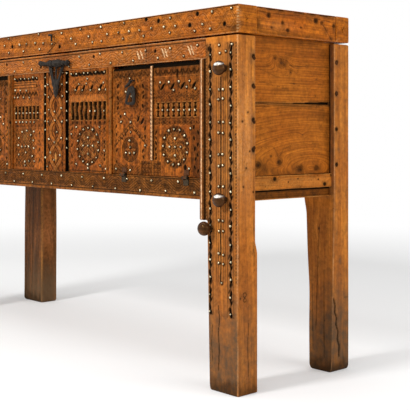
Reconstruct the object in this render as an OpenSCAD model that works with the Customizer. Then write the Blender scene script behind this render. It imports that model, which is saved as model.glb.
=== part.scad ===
// High-legged dowry chest: four posts, carved front with a drop door, lifting lid.
// Millimetres. X runs along the chest, the front looks towards -Y, the feet stand on z = 0.

/* [Posts] */
// Width of a front post, seen from the front
post_w = 129; // [110:1:180]
// Depth of a front post, seen from the end
post_t = 76; // [60:1:110]
// How far the leg steps in under the front frame
shoulder_step = 6; // [0:1:20]
// Drop of that shoulder below the front frame
shoulder_drop = 55; // [20:1:120]
// How much a front leg narrows down to the floor
leg_taper = 10; // [0:1:30]
// Width of a rear post, seen from the back
rear_post_w = 122; // [100:1:160]
// Depth of a rear post, seen from the end
rear_post_t = 68; // [50:1:100]
// How much a rear leg narrows down to the floor
rear_taper = 28; // [0:1:40]
// How far the right rear foot comes forward
rear_kick = 14; // [0:1:30]
// Width of the left rear leg below the body, a thicker timber than the right one
left_leg_w = 152; // [130:1:170]
// Depth of the left rear leg below the body
left_leg_t = 78; // [68:1:80]
// Drop of the left rear leg's shoulder below the body
left_leg_drop = 20; // [10:1:60]

/* [Heights] */
// Floor to the underside of the chest body
leg_h = 519; // [300:1:700]
// Height of the front and rear bottom rails
bottom_rail_h = 59; // [45:1:90]
// Height of the panels between the rails
opening_h = 332; // [290:1:420]
// Height of the front and rear top rails
top_rail_h = 58; // [50:1:90]
// Gap between the closed lid and the body
lid_gap = 5; // [3:0.5:8]
// Height of the lid frame
lid_h = 77; // [60:1:110]

/* [Depths] */
// Depth of the chest, front face to back face
chest_d = 466; // [380:2:640]
// Thickness of the front rails
rail_t = 40; // [34:1:46]
// Thickness of the muntin and stiles
muntin_t = 30; // [26:1:34]
// Thickness of the panel boards
panel_t = 20; // [18:1:24]
// How far the panels sit behind the frame face
panel_set = 3; // [1:0.5:5]
// Thickness of the rear rails
rear_rail_t = 36; // [30:1:44]
// Thickness of the end boards
end_board_t = 22; // [16:1:26]
// How far the end boards sit behind the end faces of the posts
end_recess = 21; // [17:1:26]

/* [Front bays] */
// Width of the middle muntin
muntin_w = 113; // [80:1:140]
// Sideways place of the muntin from the middle of the chest
muntin_x = -8.5; // [-10:0.5:10]
// Width of a middle panel with its channel, averaged over the two
panel_w = 220.5; // [210:0.5:280]
// Width of the channel beside the muntin
channel_w = 16; // [12:0.5:20]
// Depth of that channel
channel_t = 9; // [4:1:10]
// Width of a stile
stile_w = 28; // [24:1:60]
// Width of the carved face of the inner door board
door_inner_w = 186; // [150:1:260]
// Width of the rope bead
rope_w = 14; // [12:1:20]
// Width of the carved face of the outer door board
door_outer_w = 208; // [150:1:260]
// Width of the round baton beside each post
baton_w = 18; // [12:1:20]

/* [Joinery] */
// Thickness of panel tongues and stub tenons
tongue_t = 8; // [6:0.5:9]
// Length of panel tongues and stub tenons
tongue_d = 8; // [5:0.5:12]
// Face of the frame to the front of its groove
groove_set = 14; // [12.5:0.5:15]
// Slack around a tongue or tenon
slip = 0.2; // [0.1:0.05:0.5]
// Length of the rail tenons in the posts
tenon_d = 40; // [25:1:50]
// Thickness of the rail tenons
tenon_t = 14; // [10:1:18]
// Shoulder above and below a rail tenon
tenon_inset = 8; // [4:1:14]
// How deep an end board sits in the posts
housing_d = 25; // [18:1:30]
// Radius of the joint pegs
peg_r = 5; // [3:0.5:6]
// Length of the joint pegs
peg_l = 50; // [45:1:60]

/* [End frame] */
// Height of an end bottom rail
end_rail_h = 67; // [55:1:90]
// Thickness of an end bottom rail
end_rail_t = 34; // [28:1:40]
// How far an end rail sits behind the end faces of the posts
end_rail_recess = 12; // [6:1:16]
// Height of the stepped strip along its lower edge
end_strip_h = 23; // [12:1:30]
// Depth of that step
end_strip_t = 5; // [2:1:8]
// Height of the seam between the two end boards above the end rail
end_seam_h = 199; // [120:1:260]

/* [Floor] */
// Thickness of the floor boards
floor_t = 18; // [12:1:22]
// Thickness of the floor battens
floor_batten_t = 18; // [12:1:20]
// Width of the floor battens
floor_batten_w = 40; // [25:1:60]
// Number of floor battens
floor_batten_n = 4; // [2:1:6]
// Seam between floor boards
floor_seam = 1; // [0.5:0.5:3]

/* [Door] */
// Thickness of the door boards
door_t = 20; // [16:1:22]
// How far the door sits behind the frame face
door_set = 2; // [1:0.5:4]
// Gap under and beside the door
door_gap = 1; // [0.8:0.1:2]
// Gap over the door
door_head_gap = 8; // [3:0.5:12]
// Height of the cleats on the back of the door
cleat_h = 42; // [30:1:60]
// Thickness of the cleats
cleat_t = 16; // [10:1:18]
// Door hinge places from the stile, as shares of the door's width
door_hinge_at = 0.15; // [0.1:0.01:0.3]
// Radius of the door hinge eyes
eye_r = 4.5; // [3.5:0.1:4.8]
// Radius of the door hinge pins
eye_pin_r = 2; // [1.5:0.1:2.2]

/* [Drop pull] */
// Drop of the pull's pivot below the door's upper edge
pull_drop = 40; // [30:1:80]
// Sideways place of the pull, as a share of the inner door board
pull_at = 0.54; // [0.4:0.01:0.6]
// Length of the hanging pull
pull_l = 72; // [50:1:90]
// Width of the pull at its foot
pull_w = 56; // [36:1:64]
// Thickness of the pull's bars
pull_bar = 8; // [6:0.5:9]
// Radius of the pull's pivot pin
pull_pin_r = 2.5; // [2:0.1:3]
// Stand-off of the pivot from the door
pull_out = 11; // [8:0.5:13]

/* [Hasp] */
// Sideways place of the hasp from the middle of the chest
hasp_x = 4; // [-30:1:30]
// Height of the hasp bar above the head of the panels
hasp_z = 25; // [22:1:40]
// Length of the hasp bar
hasp_l = 176; // [140:1:190]
// Radius of the hasp bar
hasp_r = 8; // [6:0.5:9]
// Radius of the sleeve round the bar
sleeve_r = 13; // [11:0.5:13.5]
// Length of that sleeve, which is the tongue's width at the top
sleeve_l = 74; // [40:1:80]
// Length of the tongue below the bar
tongue_l = 113; // [95:1:140]
// Width of the tongue's tip
tip_w = 15; // [10:1:24]
// Thickness of the tongue
hasp_t = 5; // [3:0.5:6]
// Stand-off of the bar's axis from the frame face
hasp_out = 14; // [14:0.5:18]

/* [Lid] */
// Depth of the lid's front beam
lid_front_t = 74; // [50:1:90]
// Depth of the lid's rear beam
lid_rear_t = 60; // [50:1:80]
// Thickness of the lid's end beams
lid_end_t = 44; // [30:1:60]
// Thickness of the top boards
lid_board_t = 18; // [12:1:24]
// Seam between the top boards
lid_seam = 1; // [0.5:0.5:3]
// Width of the rebate that holds them
rebate_w = 14; // [10:1:20]
// Height of the lid battens
lid_batten_h = 22; // [15:1:30]
// Width of the lid battens
lid_batten_w = 45; // [30:1:60]
// Number of lid battens
lid_batten_n = 3; // [2:1:5]

/* [Lid hinges] */
// Distance of each lid hinge from the middle of the chest
hinge_x = 500; // [300:10:650]
// Width of a hinge leaf
leaf_w = 52; // [40:1:80]
// Height of a hinge leaf
leaf_h = 46; // [30:1:52]
// Thickness of a hinge leaf
leaf_t = 3; // [2:0.5:3.5]
// Radius of a hinge knuckle
knuckle_r = 6; // [5:0.25:6.5]
// Radius of a hinge pin
pin_r = 2.5; // [2:0.1:3]
// Radial clearance of a pin in its eye
run_fit = 0.06; // [0.03:0.01:0.1]

/* [Knobs] */
// Radius of a turned knob
knob_r = 20; // [14:0.5:24]
// How far a knob stands out
knob_reach = 36; // [28:1:48]
// Radius of a knob's shank
shank_r = 7; // [5:0.5:9]
// Length of the shank in the post
shank_l = 34; // [20:1:45]
// Place of the two upper knobs from the end of the chest
knob_x = 52; // [40:1:80]
// Place of the lowest knob from the end of the chest
low_knob_x = 112; // [100:1:114]

/* [Studs] */
// Radius of a stud head
stud_r = 4.5; // [3:0.25:6]
// Height of a stud head
stud_h = 2.6; // [1.5:0.1:3]
// Place of the outer chain of a post from the end of the chest
outer_chain_x = 29; // [20:1:40]
// Place of the inner chain of a post from the end of the chest
inner_chain_x = 110; // [90:1:114]
// Distance between studs along a post
post_pitch = 48; // [36:1:80]
// Distance between studs along the lid
lid_pitch = 53.5; // [40:0.5:80]
// Distance between studs along a rail row
rail_pitch = 113; // [80:1:160]

/* [Carving] */
// Depth of the carved slots and notches
carve_t = 5; // [2:0.5:7]
// Pitch of the slots in a panel
slot_pitch = 24; // [20:0.5:26]
// Width of a slot
slot_w = 10; // [6:0.5:13]
// Height of a tall slot
slot_h = 54; // [30:1:60]
// Radius of a rosette's ring of studs
rosette_r = 60; // [40:1:66]

/* [Hidden] */

// Colours of the finishes
pine = "#a9652c";
dark_pine = "#8a4a22";
inside_pine = "#94683f";
iron = "#34383a";
pewter = "#cfc8ba";
$fn = 48;
cut = 1;

// Heights of the frame lines
z_sill = leg_h + bottom_rail_h;
z_head = z_sill + opening_h;
z_top = z_head + top_rail_h;
z_lid = z_top + lid_gap;
z_all = z_lid + lid_h;
shoulder_z = leg_h - shoulder_drop;
z_end_rail = leg_h + end_rail_h;
z_end_seam = z_end_rail + end_seam_h;
floor_z = leg_h + 4;

// Places along the front, measured from the middle
function x_muntin(left) = muntin_w / 2 + (left ? -muntin_x : muntin_x);
x_stile = muntin_w / 2 + panel_w;
x_door = x_stile + stile_w;
x_split = x_door + door_inner_w + rope_w / 2;
x_jamb = x_split + rope_w / 2 + door_outer_w;
x_post = x_jamb + baton_w;
x_end = x_post + post_w;
x_rear_post = x_end - rear_post_w;
x_board = x_end - end_recess;
x_rail_out = x_end - end_rail_recess;
x_rail_in = x_rail_out - end_rail_t;
leg_w = post_w - shoulder_step;

// Depths, measured back from the front face
y_rear_post = chest_d - rear_post_t;
y_rear_rail = chest_d - rear_rail_t;
y_tenon = (rail_t - tenon_t) / 2;
y_rear_tenon = y_rear_rail + (rear_rail_t - tenon_t) / 2;
baton_seat = y_tenon - 1;
hinge_out = knuckle_r + 1;
rear_reach = hinge_out + knuckle_r;
front_y = (knob_reach - chest_d - rear_reach) / 2;

// Door and hinge lines
door_z0 = z_sill + door_gap;
door_z1 = z_head - door_head_gap;
door_back = door_set + door_t;
eye_out = eye_r + 0.5;
eye_z = z_sill + door_gap / 2;
door_hinges = [for (s = [door_hinge_at, 1 - door_hinge_at]) x_door + s * (x_jamb - x_door)];
hinge_z = z_top + lid_gap / 2;
pull_x = x_door + door_inner_w * pull_at;
pull_axis_z = door_z1 - pull_drop;
pull_axis_y = door_set - pull_out;
hasp_axis_z = z_head + hasp_z;

// Joint pegs, as drops below the top of the posts
front_pegs = [61, 139, 234, 304];
rear_pegs = [57, 145];
peg_inset = 14;
rear_peg_inset = 9;

// Knob heights, as drops below the panels' head, their sill and the shoulder of the posts
knob_drops = [31, 54, 21];
knob_zs = [z_head - knob_drops[0], z_sill - knob_drops[1]];
low_knob_z = shoulder_z - knob_drops[2];

// Frame of the whole chest: the front face is moved so that the box is centred in depth
module place() {
    translate([0, front_y, 0]) children();
}

// A board from its low corner to its high corner
module block(x, y, z) {
    translate([x[0], y[0], z[0]]) cube([x[1] - x[0], y[1] - y[0], z[1] - z[0]]);
}

// A shape drawn in the front view, as thick as t, its front face at depth y
module front_shape(y, t) {
    translate([0, y + t, 0]) rotate([90, 0, 0]) linear_extrude(t) children();
}

// A shape drawn in the end view, y to the right, from x along the chest
module end_shape(x) {
    translate([x[0], 0, 0]) rotate([90, 0, 90]) linear_extrude(x[1] - x[0]) children();
}

// A round bar along X
module bar_x(r, x, y, z) {
    translate([x[0], y, z]) rotate([0, 90, 0]) cylinder(r = r, h = x[1] - x[0]);
}

// A round bar running back from the front
module bar_y(r, x, y, z) {
    translate([x, y[1], z]) rotate([90, 0, 0]) cylinder(r = r, h = y[1] - y[0]);
}

// The space of a board, grown by the slack in two directions
module housing(x, y, z) {
    block([x[0] - slip, x[1] + slip], [y[0] - slip, y[1] + slip], [z[0] - slip, z[1] + slip]);
}

// Everything on the left is the right side seen in a mirror
module sided(left) {
    mirror([left ? 1 : 0, 0, 0]) children();
}

// Tenons of the long rails, at the right-hand end
module front_tenon(z0, z1) {
    block([x_post - cut, x_post + tenon_d], [y_tenon, y_tenon + tenon_t],
        [z0 + tenon_inset, z1 - tenon_inset]);
}

module rear_tenon(z0, z1) {
    block([x_rear_post - cut, x_rear_post + tenon_d], [y_rear_tenon, y_rear_tenon + tenon_t],
        [z0 + tenon_inset, z1 - tenon_inset]);
}

// Mortise for a tenon: the same block with slack
module front_mortise(z0, z1) {
    housing([x_post - cut, x_post + tenon_d], [y_tenon, y_tenon + tenon_t],
        [z0 + tenon_inset, z1 - tenon_inset]);
}

module rear_mortise(z0, z1) {
    housing([x_rear_post - cut, x_rear_post + tenon_d], [y_rear_tenon, y_rear_tenon + tenon_t],
        [z0 + tenon_inset, z1 - tenon_inset]);
}

// Holes for the pegs that pin the end boards
module peg_holes() {
    for (drop = front_pegs)
        bar_x(peg_r + slip / 2, [x_end - peg_l, x_end + cut], post_t - peg_inset, z_top - drop);
    for (drop = rear_pegs)
        bar_x(peg_r + slip / 2, [x_end - peg_l, x_end + cut], y_rear_post + rear_peg_inset,
            z_top - drop);
}

// Space of the end boards in the posts
module end_board_space() {
    housing([x_board - end_board_t, x_board], [post_t - housing_d, y_rear_post + housing_d],
        [z_end_rail, z_lid]);
}

// Space of the end rail's tenons in the posts
module end_tenons() {
    block([x_rail_in + tenon_inset, x_rail_in + tenon_inset + tenon_t],
        [post_t - housing_d, y_rear_post + housing_d],
        [leg_h + tenon_inset, z_end_rail - tenon_inset]);
}

module end_mortises() {
    housing([x_rail_in + tenon_inset, x_rail_in + tenon_inset + tenon_t],
        [post_t - housing_d, y_rear_post + housing_d],
        [leg_h + tenon_inset, z_end_rail - tenon_inset]);
}

// Spindle-shaped notches between the studs of a post
chain_xs = [x_end - inner_chain_x, x_end - outer_chain_x];
chain_drop = 42;
chain_foot = 200;
chain_n = floor((z_top - chain_drop / 2 - chain_foot) / post_pitch);
function chain_z(i) = z_top - chain_drop - i * post_pitch;
notch = [30, 8];

module chain_notches() {
    for (x = chain_xs, i = [0:chain_n - 1])
        translate([x, 0, chain_z(i)])
            front_shape(-cut, carve_t + cut)
                polygon([[0, -notch[0] / 2], [notch[1] / 2, 0], [0, notch[0] / 2],
                    [-notch[1] / 2, 0]]);
}

// Sockets of the knobs
knob_places = [[x_end - knob_x, knob_zs[0]], [x_end - knob_x, knob_zs[1]],
    [x_end - low_knob_x, low_knob_z]];

module knob_sockets() {
    for (p = knob_places)
        bar_y(shank_r + slip / 2, p[0], [-cut, shank_l + slip], p[1]);
}

module post_front(left) {
    place() sided(left) color(pine) difference() {
        front_shape(0, post_t)
            polygon([[x_end - leg_w + leg_taper, 0], [x_end, 0], [x_end, z_top], [x_post, z_top],
                [x_post, shoulder_z], [x_end - leg_w, shoulder_z]]);
        front_mortise(leg_h, z_sill);
        front_mortise(z_head, z_top);
        end_board_space();
        end_mortises();
        peg_holes();
        knob_sockets();
        chain_notches();
    }
}

// The right rear post narrows down to its foot, which comes forward
module right_rear_timber() {
    intersection() {
        front_shape(y_rear_post - rear_kick, rear_post_t + rear_kick)
            polygon([[x_rear_post + rear_taper, 0], [x_end, 0], [x_end, z_top],
                [x_rear_post, z_top], [x_rear_post, leg_h]]);
        end_shape([x_rear_post - cut, x_end + cut])
            polygon([[y_rear_post - rear_kick, 0], [chest_d, 0], [chest_d, z_top],
                [y_rear_post, z_top], [y_rear_post, leg_h]]);
    }
}

// The left rear post has a shoulder below the body and a thick leg under it
module left_rear_timber() {
    shoulder = leg_h - left_leg_drop;
    front_shape(y_rear_post, rear_post_t)
        polygon([[x_end - left_leg_w, 0], [x_end, 0], [x_end, z_top], [x_rear_post, z_top],
            [x_rear_post, shoulder], [x_end - left_leg_w, shoulder]]);
    block([x_end - left_leg_w, x_end], [y_rear_post, y_rear_post + left_leg_t], [0, shoulder]);
}

module post_rear(left) {
    place() sided(left) color(pine) difference() {
        if (left) left_rear_timber(); else right_rear_timber();
        rear_mortise(leg_h, z_sill);
        rear_mortise(z_head, z_top);
        end_board_space();
        end_mortises();
        peg_holes();
        back_groove();
    }
}

module post_front_right() { post_front(false); }
module post_front_left() { post_front(true); }
module post_rear_right() { post_rear(false); }
module post_rear_left() { post_rear(true); }

// Grooves in the front rails take the fixed panels, left of the door
module front_groove() {
    housing([-x_jamb, x_door], [groove_set, groove_set + tongue_t],
        [z_sill - tongue_d, z_head + tongue_d]);
}

// Groove in the rear frame for the back boards
y_back_groove = y_rear_rail + (rear_rail_t - tongue_t) / 2;

module back_groove() {
    housing([-x_rear_post - tongue_d, x_rear_post + tongue_d],
        [y_back_groove, y_back_groove + tongue_t], [z_sill - tongue_d, z_head + tongue_d]);
}

// Lines scratched along a rail face
line_t = 1.5;

module rail_line(z) {
    block([-x_post - cut, x_post + cut], [-cut, line_t], [z, z + line_t]);
}

top_line_drop = 10;

module front_top_rail() {
    place() color(pine) difference() {
        union() {
            block([-x_post, x_post], [0, rail_t], [z_head, z_top]);
            for (left = [false, true]) sided(left) front_tenon(z_head, z_top);
        }
        front_groove();
        rail_line(z_top - top_line_drop);
    }
}

// Stub tenons of the floor battens in the bottom rails
module floor_batten(x, grow) {
    block([x - floor_batten_w / 2 - grow, x + floor_batten_w / 2 + grow],
        [rail_t - tongue_d - grow, y_rear_rail + tongue_d + grow],
        [floor_z - grow, floor_z + floor_batten_t + grow]);
}

function floor_batten_x(i) = (2 * (i + 0.5) / floor_batten_n - 1) * x_post;

fillet_h = 15;

module front_bottom_rail() {
    place() color(dark_pine) difference() {
        union() {
            block([-x_post, x_post], [0, rail_t], [leg_h, z_sill]);
            for (left = [false, true]) sided(left) front_tenon(leg_h, z_sill);
        }
        front_groove();
        rail_line(leg_h + fillet_h);
        for (left = [false, true]) sided(left)
            block([x_jamb, x_post + cut], [-cut, baton_seat], [leg_h - cut, z_sill + cut]);
        for (i = [0:floor_batten_n - 1]) floor_batten(floor_batten_x(i), slip);
    }
}

module rear_rail(z0, z1) {
    block([-x_rear_post, x_rear_post], [y_rear_rail, chest_d], [z0, z1]);
    for (left = [false, true]) sided(left) rear_tenon(z0, z1);
}

module rear_top_rail() {
    place() color(inside_pine) difference() {
        rear_rail(z_head, z_top);
        back_groove();
    }
}

module rear_bottom_rail() {
    place() color(inside_pine) difference() {
        rear_rail(leg_h, z_sill);
        back_groove();
        for (i = [0:floor_batten_n - 1]) floor_batten(floor_batten_x(i), slip);
    }
}

module end_rail(left) {
    place() sided(left) color(pine) {
        difference() {
            block([x_rail_in, x_rail_out], [post_t, y_rear_post], [leg_h, z_end_rail]);
            block([x_rail_out - end_strip_t, x_rail_out + cut], [post_t - cut, y_rear_post + cut],
                [leg_h - cut, leg_h + end_strip_h]);
        }
        end_tenons();
    }
}

module end_rail_right() { end_rail(false); }
module end_rail_left() { end_rail(true); }

// End boards lie in the post housings; the upper one carries the closed lid
lid_rest = 0.3;

module end_board(left, z0, z1) {
    place() sided(left) color(pine) difference() {
        block([x_board - end_board_t, x_board], [post_t - housing_d, y_rear_post + housing_d],
            [z0, z1]);
        peg_holes();
    }
}

module end_board_lower_right() { end_board(false, z_end_rail, z_end_seam); }
module end_board_lower_left() { end_board(true, z_end_rail, z_end_seam); }
module end_board_upper_right() { end_board(false, z_end_seam, z_lid - lid_rest); }
module end_board_upper_left() { end_board(true, z_end_seam, z_lid - lid_rest); }

// Back boards, with tongues in the rear frame
back_seam_z = (z_sill + z_head) / 2;
back_board_t = panel_t;
y_back_board = y_back_groove + tongue_t - back_board_t;

module back_board(z0, z1, tongue_z0, tongue_z1) {
    place() color(inside_pine) {
        block([-x_rear_post, x_rear_post], [y_back_board, y_back_board + back_board_t], [z0, z1]);
        block([-x_rear_post - tongue_d, x_rear_post + tongue_d],
            [y_back_groove, y_back_groove + tongue_t], [tongue_z0, tongue_z1]);
    }
}

module back_board_lower() { back_board(z_sill, back_seam_z, z_sill - tongue_d, back_seam_z); }
module back_board_upper() { back_board(back_seam_z, z_head, back_seam_z, z_head + tongue_d); }

// Floor: three boards notched round the posts, on battens let into the rails
floor_top = floor_z + floor_batten_t + floor_t;
floor_w = (y_rear_rail - rail_t - 4 * floor_seam) / 3;

module floor_board(i) {
    y0 = rail_t + floor_seam + i * (floor_w + floor_seam);
    place() color(inside_pine) difference() {
        block([-x_rail_in + floor_seam, x_rail_in - floor_seam], [y0, y0 + floor_w],
            [floor_z + floor_batten_t, floor_top]);
        for (left = [false, true]) sided(left) {
            block([x_post - floor_seam, x_end], [0, post_t + floor_seam], [0, z_top]);
            block([x_rear_post - floor_seam, x_end], [y_rear_post - floor_seam, chest_d],
                [0, z_top]);
        }
    }
}

module floor_board_front() { floor_board(0); }
module floor_board_middle() { floor_board(1); }
module floor_board_rear() { floor_board(2); }

module floor_battens() {
    place() color(inside_pine)
        for (i = [0:floor_batten_n - 1]) floor_batten(floor_batten_x(i), 0);
}

// Uprights of the front, with stub tenons in the rail grooves
module upright(x0, x1) {
    block([x0, x1], [0, muntin_t], [z_sill, z_head]);
    block([x0, x1], [groove_set, groove_set + tongue_t], [z_sill - tongue_d, z_head + tongue_d]);
}

// Groove for panel tongues in the edge of an upright
module edge_groove(x) {
    housing([x - tongue_d, x + tongue_d], [groove_set, groove_set + tongue_t],
        [z_sill - tongue_d - cut, z_head + tongue_d + cut]);
}

module middle_muntin() {
    place() color(pine) difference() {
        upright(-x_muntin(true), x_muntin(false));
        edge_groove(-x_muntin(true));
        edge_groove(x_muntin(false));
    }
}

bead_r = 7.5;
bead_proud = 4.5;
bead_edge = 0.5;

module stile(left) {
    place() sided(left) color(pine) difference() {
        union() {
            upright(x_stile, x_door);
            translate([x_door - bead_edge - bead_r, bead_r - bead_proud, z_sill])
                cylinder(r = bead_r, h = opening_h);
        }
        edge_groove(x_stile);
        if (left) edge_groove(x_door);
    }
}

module stile_right() { stile(false); }
module stile_left() { stile(true); }

// Row of carved slots, centred at x
module slots(x, z, n, pitch, w, h) {
    for (i = [0:n - 1])
        translate([x + (i - (n - 1) / 2) * pitch, 0, z])
            front_shape(panel_set - cut, carve_t + cut)
                polygon([[-w / 2, -h / 2], [w / 2, -h / 2], [w / 2, h / 2], [-w / 2, h / 2]]);
}

slot_n = 8;
slot_rise = 200;
rosette_rise = 88;
slot_z = z_sill + slot_rise;
rosette_z = z_sill + rosette_rise;

// A board in the frame: its face, and a tongue on the edges that meet a groove
module framed_panel(x0, x1, edge0, edge1) {
    block([x0, x1], [panel_set, panel_set + panel_t], [z_sill, z_head]);
    block([x0 - edge0 * tongue_d, x1 + edge1 * tongue_d], [groove_set, groove_set + tongue_t],
        [z_sill - tongue_d, z_head + tongue_d]);
}

// Ring groove round a rosette
ring_w = 8;

module rosette_ring(x) {
    translate([x, panel_set + line_t, rosette_z]) rotate([90, 0, 0]) difference() {
        cylinder(r = rosette_r + ring_w, h = line_t + cut);
        translate([0, 0, -cut]) cylinder(r = rosette_r + ring_w / 2, h = line_t + 3 * cut);
    }
}

function x_field(left) = (x_muntin(left) + channel_w + x_stile) / 2;

module panel_middle(left) {
    place() sided(left) color(pine) difference() {
        framed_panel(x_muntin(left), x_stile, 1, 1);
        block([x_muntin(left) - cut, x_muntin(left) + channel_w], [0, panel_set + channel_t],
            [z_sill - cut, z_head + cut]);
        slots(x_field(left), slot_z, slot_n, slot_pitch, slot_w, left ? slot_h / 2 : slot_h);
        rosette_ring(x_field(left));
    }
}

module panel_middle_right() { panel_middle(false); }
module panel_middle_left() { panel_middle(true); }

module panel_left_inner() {
    place() sided(true) color(dark_pine) framed_panel(x_door, x_split, 1, 0);
}

x_outer_field = (x_split + rope_w / 2 + x_jamb) / 2;
outer_slot_h = slot_h * 0.8;

module panel_left_outer() {
    place() sided(true) color(dark_pine) difference() {
        framed_panel(x_split, x_jamb, 0, 0);
        slots(x_outer_field, slot_z, slot_n, slot_pitch, slot_w, outer_slot_h);
        rosette_ring(x_outer_field);
    }
}

// Half-round bead over the joint of two boards, its foot on the face at depth y
rope_h = 6;

module rope_bead(y, z0, z1) {
    intersection() {
        translate([x_split, y + rope_w / 2 - rope_h, z0])
            cylinder(r = rope_w / 2, h = z1 - z0);
        block([x_split - rope_w, x_split + rope_w], [y - rope_w, y], [z0, z1]);
    }
}

rope_foot = 46;

module rope_bead_left() {
    place() sided(true) color(pine) rope_bead(panel_set, z_sill + rope_foot, z_head);
}

// Round baton against the inner edge of each front post
module baton(left) {
    place() sided(left) color(pine) union() {
        block([x_jamb, x_post], [0, baton_seat], [shoulder_z, z_head]);
        translate([(x_jamb + x_post) / 2, 0, shoulder_z])
            cylinder(r = baton_w / 2, h = z_head - shoulder_z);
    }
}

module baton_right() { baton(false); }
module baton_left() { baton(true); }

// Turned knob with its shank in the post; the cap as [share of radius, share of reach]
neck_r = 9;
neck_share = 0.25;
cap = [[0.8, 0.42], [1, 0.58], [1, 0.72], [0.8, 0.9], [0.4, 1], [0, 1]];

module knob() {
    rotate([90, 0, 0]) rotate_extrude()
        polygon(concat([[0, -shank_l], [shank_r, -shank_l], [shank_r, 0], [neck_r, 0],
            [neck_r, knob_reach * neck_share]],
            [for (c = cap) [knob_r * c[0], knob_reach * c[1]]]));
}

module knobs(left) {
    place() sided(left) color(dark_pine)
        for (p = knob_places) translate([p[0], 0, p[1]]) knob();
}

module knobs_right() { knobs(false); }
module knobs_left() { knobs(true); }

module joint_pegs() {
    place() color(dark_pine) for (left = [false, true]) sided(left) {
        for (drop = front_pegs)
            bar_x(peg_r, [x_end - peg_l, x_end], post_t - peg_inset, z_top - drop);
        for (drop = rear_pegs)
            bar_x(peg_r, [x_end - peg_l, x_end], y_rear_post + rear_peg_inset, z_top - drop);
    }
}

// A stud head on a face at depth y
module stud(x, y, z) {
    translate([x, y, z]) rotate([90, 0, 0])
        cylinder(r1 = stud_r, r2 = stud_r * 0.5, h = stud_h);
}

// Two rows of studs in step along a rail
module zigzag_studs(z_high, z_low, n) {
    for (i = [-n:n]) {
        if (abs(i * rail_pitch - hasp_x) > hasp_l / 2 + stud_r || z_high < z_sill)
            stud(i * rail_pitch, 0, z_high);
        stud((i + 0.5) * rail_pitch, 0, z_low);
    }
}

frame_stud_n = floor((x_jamb - rail_pitch) / rail_pitch);
muntin_stud_share = 0.72;
muntin_stud_n = 7;
muntin_row_drop = 20;
top_row_drops = [15, 48];
bottom_row_drops = [15, 40];

module frame_studs() {
    place() color(pewter) {
        zigzag_studs(z_top - top_row_drops[0], z_top - top_row_drops[1], frame_stud_n);
        zigzag_studs(z_sill - bottom_row_drops[0], z_sill - bottom_row_drops[1], frame_stud_n);
        for (s = [-1, 1], i = [0:muntin_stud_n - 1])
            stud(muntin_x + s * muntin_stud_share * muntin_w / 2, 0, z_head - muntin_row_drop
                - i * (opening_h - 2 * muntin_row_drop) / (muntin_stud_n - 1));
    }
}

module post_studs() {
    place() color(pewter) for (left = [false, true]) sided(left)
        for (x = chain_xs, i = [0:chain_n - 1]) stud(x, 0, chain_z(i) - post_pitch / 2);
}

// Studs of a rosette: a ring, a cross and the corners
ring_n = 14;
cross_step = 25;
corner_step = 62;

module rosette_studs(x, y, z, r, corners) {
    for (i = [0:ring_n - 1])
        stud(x + r * cos((i + 0.5) * 360 / ring_n), y, z + r * sin((i + 0.5) * 360 / ring_n));
    stud(x, y, z);
    for (i = [0:3]) stud(x + cross_step * cos(90 * i), y, z + cross_step * sin(90 * i));
    if (corners)
        for (sx = [-1, 1], sz = [-1, 1]) stud(x + sx * corner_step, y, z + sz * corner_step);
}

// Studs in a level row
module stud_row(x, y, z, n, pitch) {
    for (i = [0:n - 1]) stud(x + (i - (n - 1) / 2) * pitch, y, z);
}

row_drop = 14;
low_row_drop = 68;
row_z = z_head - row_drop;
low_row_z = z_head - low_row_drop;
small_ring_r = 32;
small_ring_z = rosette_z - 10;
wide_pitch = slot_pitch * 1.6;

module panel_studs() {
    place() color(pewter) {
        for (s = [-1, 1]) {
            x = s * x_field(s < 0);
            rosette_studs(x, panel_set, rosette_z, rosette_r, true);
            stud_row(x, panel_set, row_z, slot_n, slot_pitch);
            stud_row(x, panel_set, low_row_z, 5, wide_pitch);
        }
        rosette_studs(-x_outer_field, panel_set, rosette_z, rosette_r, false);
        stud_row(-x_outer_field, panel_set, low_row_z, 4, wide_pitch);
        rosette_studs(-pull_x, panel_set, small_ring_z, small_ring_r, false);
    }
}

// Drop door: two boards, cleats behind, a rope bead over the joint
module door_board(x0, x1) {
    block([x0, x1], [door_set, door_back], [door_z0, door_z1]);
}

module door_board_inner() {
    place() color(dark_pine) door_board(x_door + door_gap, x_split);
}

module door_board_outer() {
    place() color(dark_pine) difference() {
        door_board(x_split, x_jamb - door_gap);
        slots(x_outer_field, slot_z, slot_n, slot_pitch, slot_w, outer_slot_h);
        rosette_ring(x_outer_field);
    }
}

module door_rope_bead() {
    place() color(pine) rope_bead(door_set, door_z0 + rope_foot, door_z1);
}

cleat_edge = 24;
cleat_foot = 45;

module door_cleats() {
    place() color(inside_pine)
        for (z = [door_z0 + cleat_foot, door_z1 - 2 * cleat_foot - cleat_h])
            block([x_door + cleat_edge, x_jamb - cleat_edge], [door_back, door_back + cleat_t],
                [z, z + cleat_h]);
}

// Stop under the top rail that the closed door rests against
stop_h = 14;
stop_clear = 0.3;

module door_stop() {
    place() color(inside_pine)
        block([x_door + cleat_edge, x_jamb - cleat_edge], [door_back + stop_clear, rail_t],
            [z_head - door_head_gap - stop_h, z_head]);
}

module door_studs() {
    place() color(pewter) {
        rosette_studs(x_outer_field, door_set, rosette_z, rosette_r, false);
        stud_row(x_outer_field, door_set, low_row_z, 4, wide_pitch);
        rosette_studs(pull_x, door_set, small_ring_z, small_ring_r, false);
    }
}

// Door hinges: two eyes on the rail, one on the door, a pin through them
eye_w = 5;
eye_half = 6;
strap_half = 11;
strap_t = 2;
strap_z = [6, 22];

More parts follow.
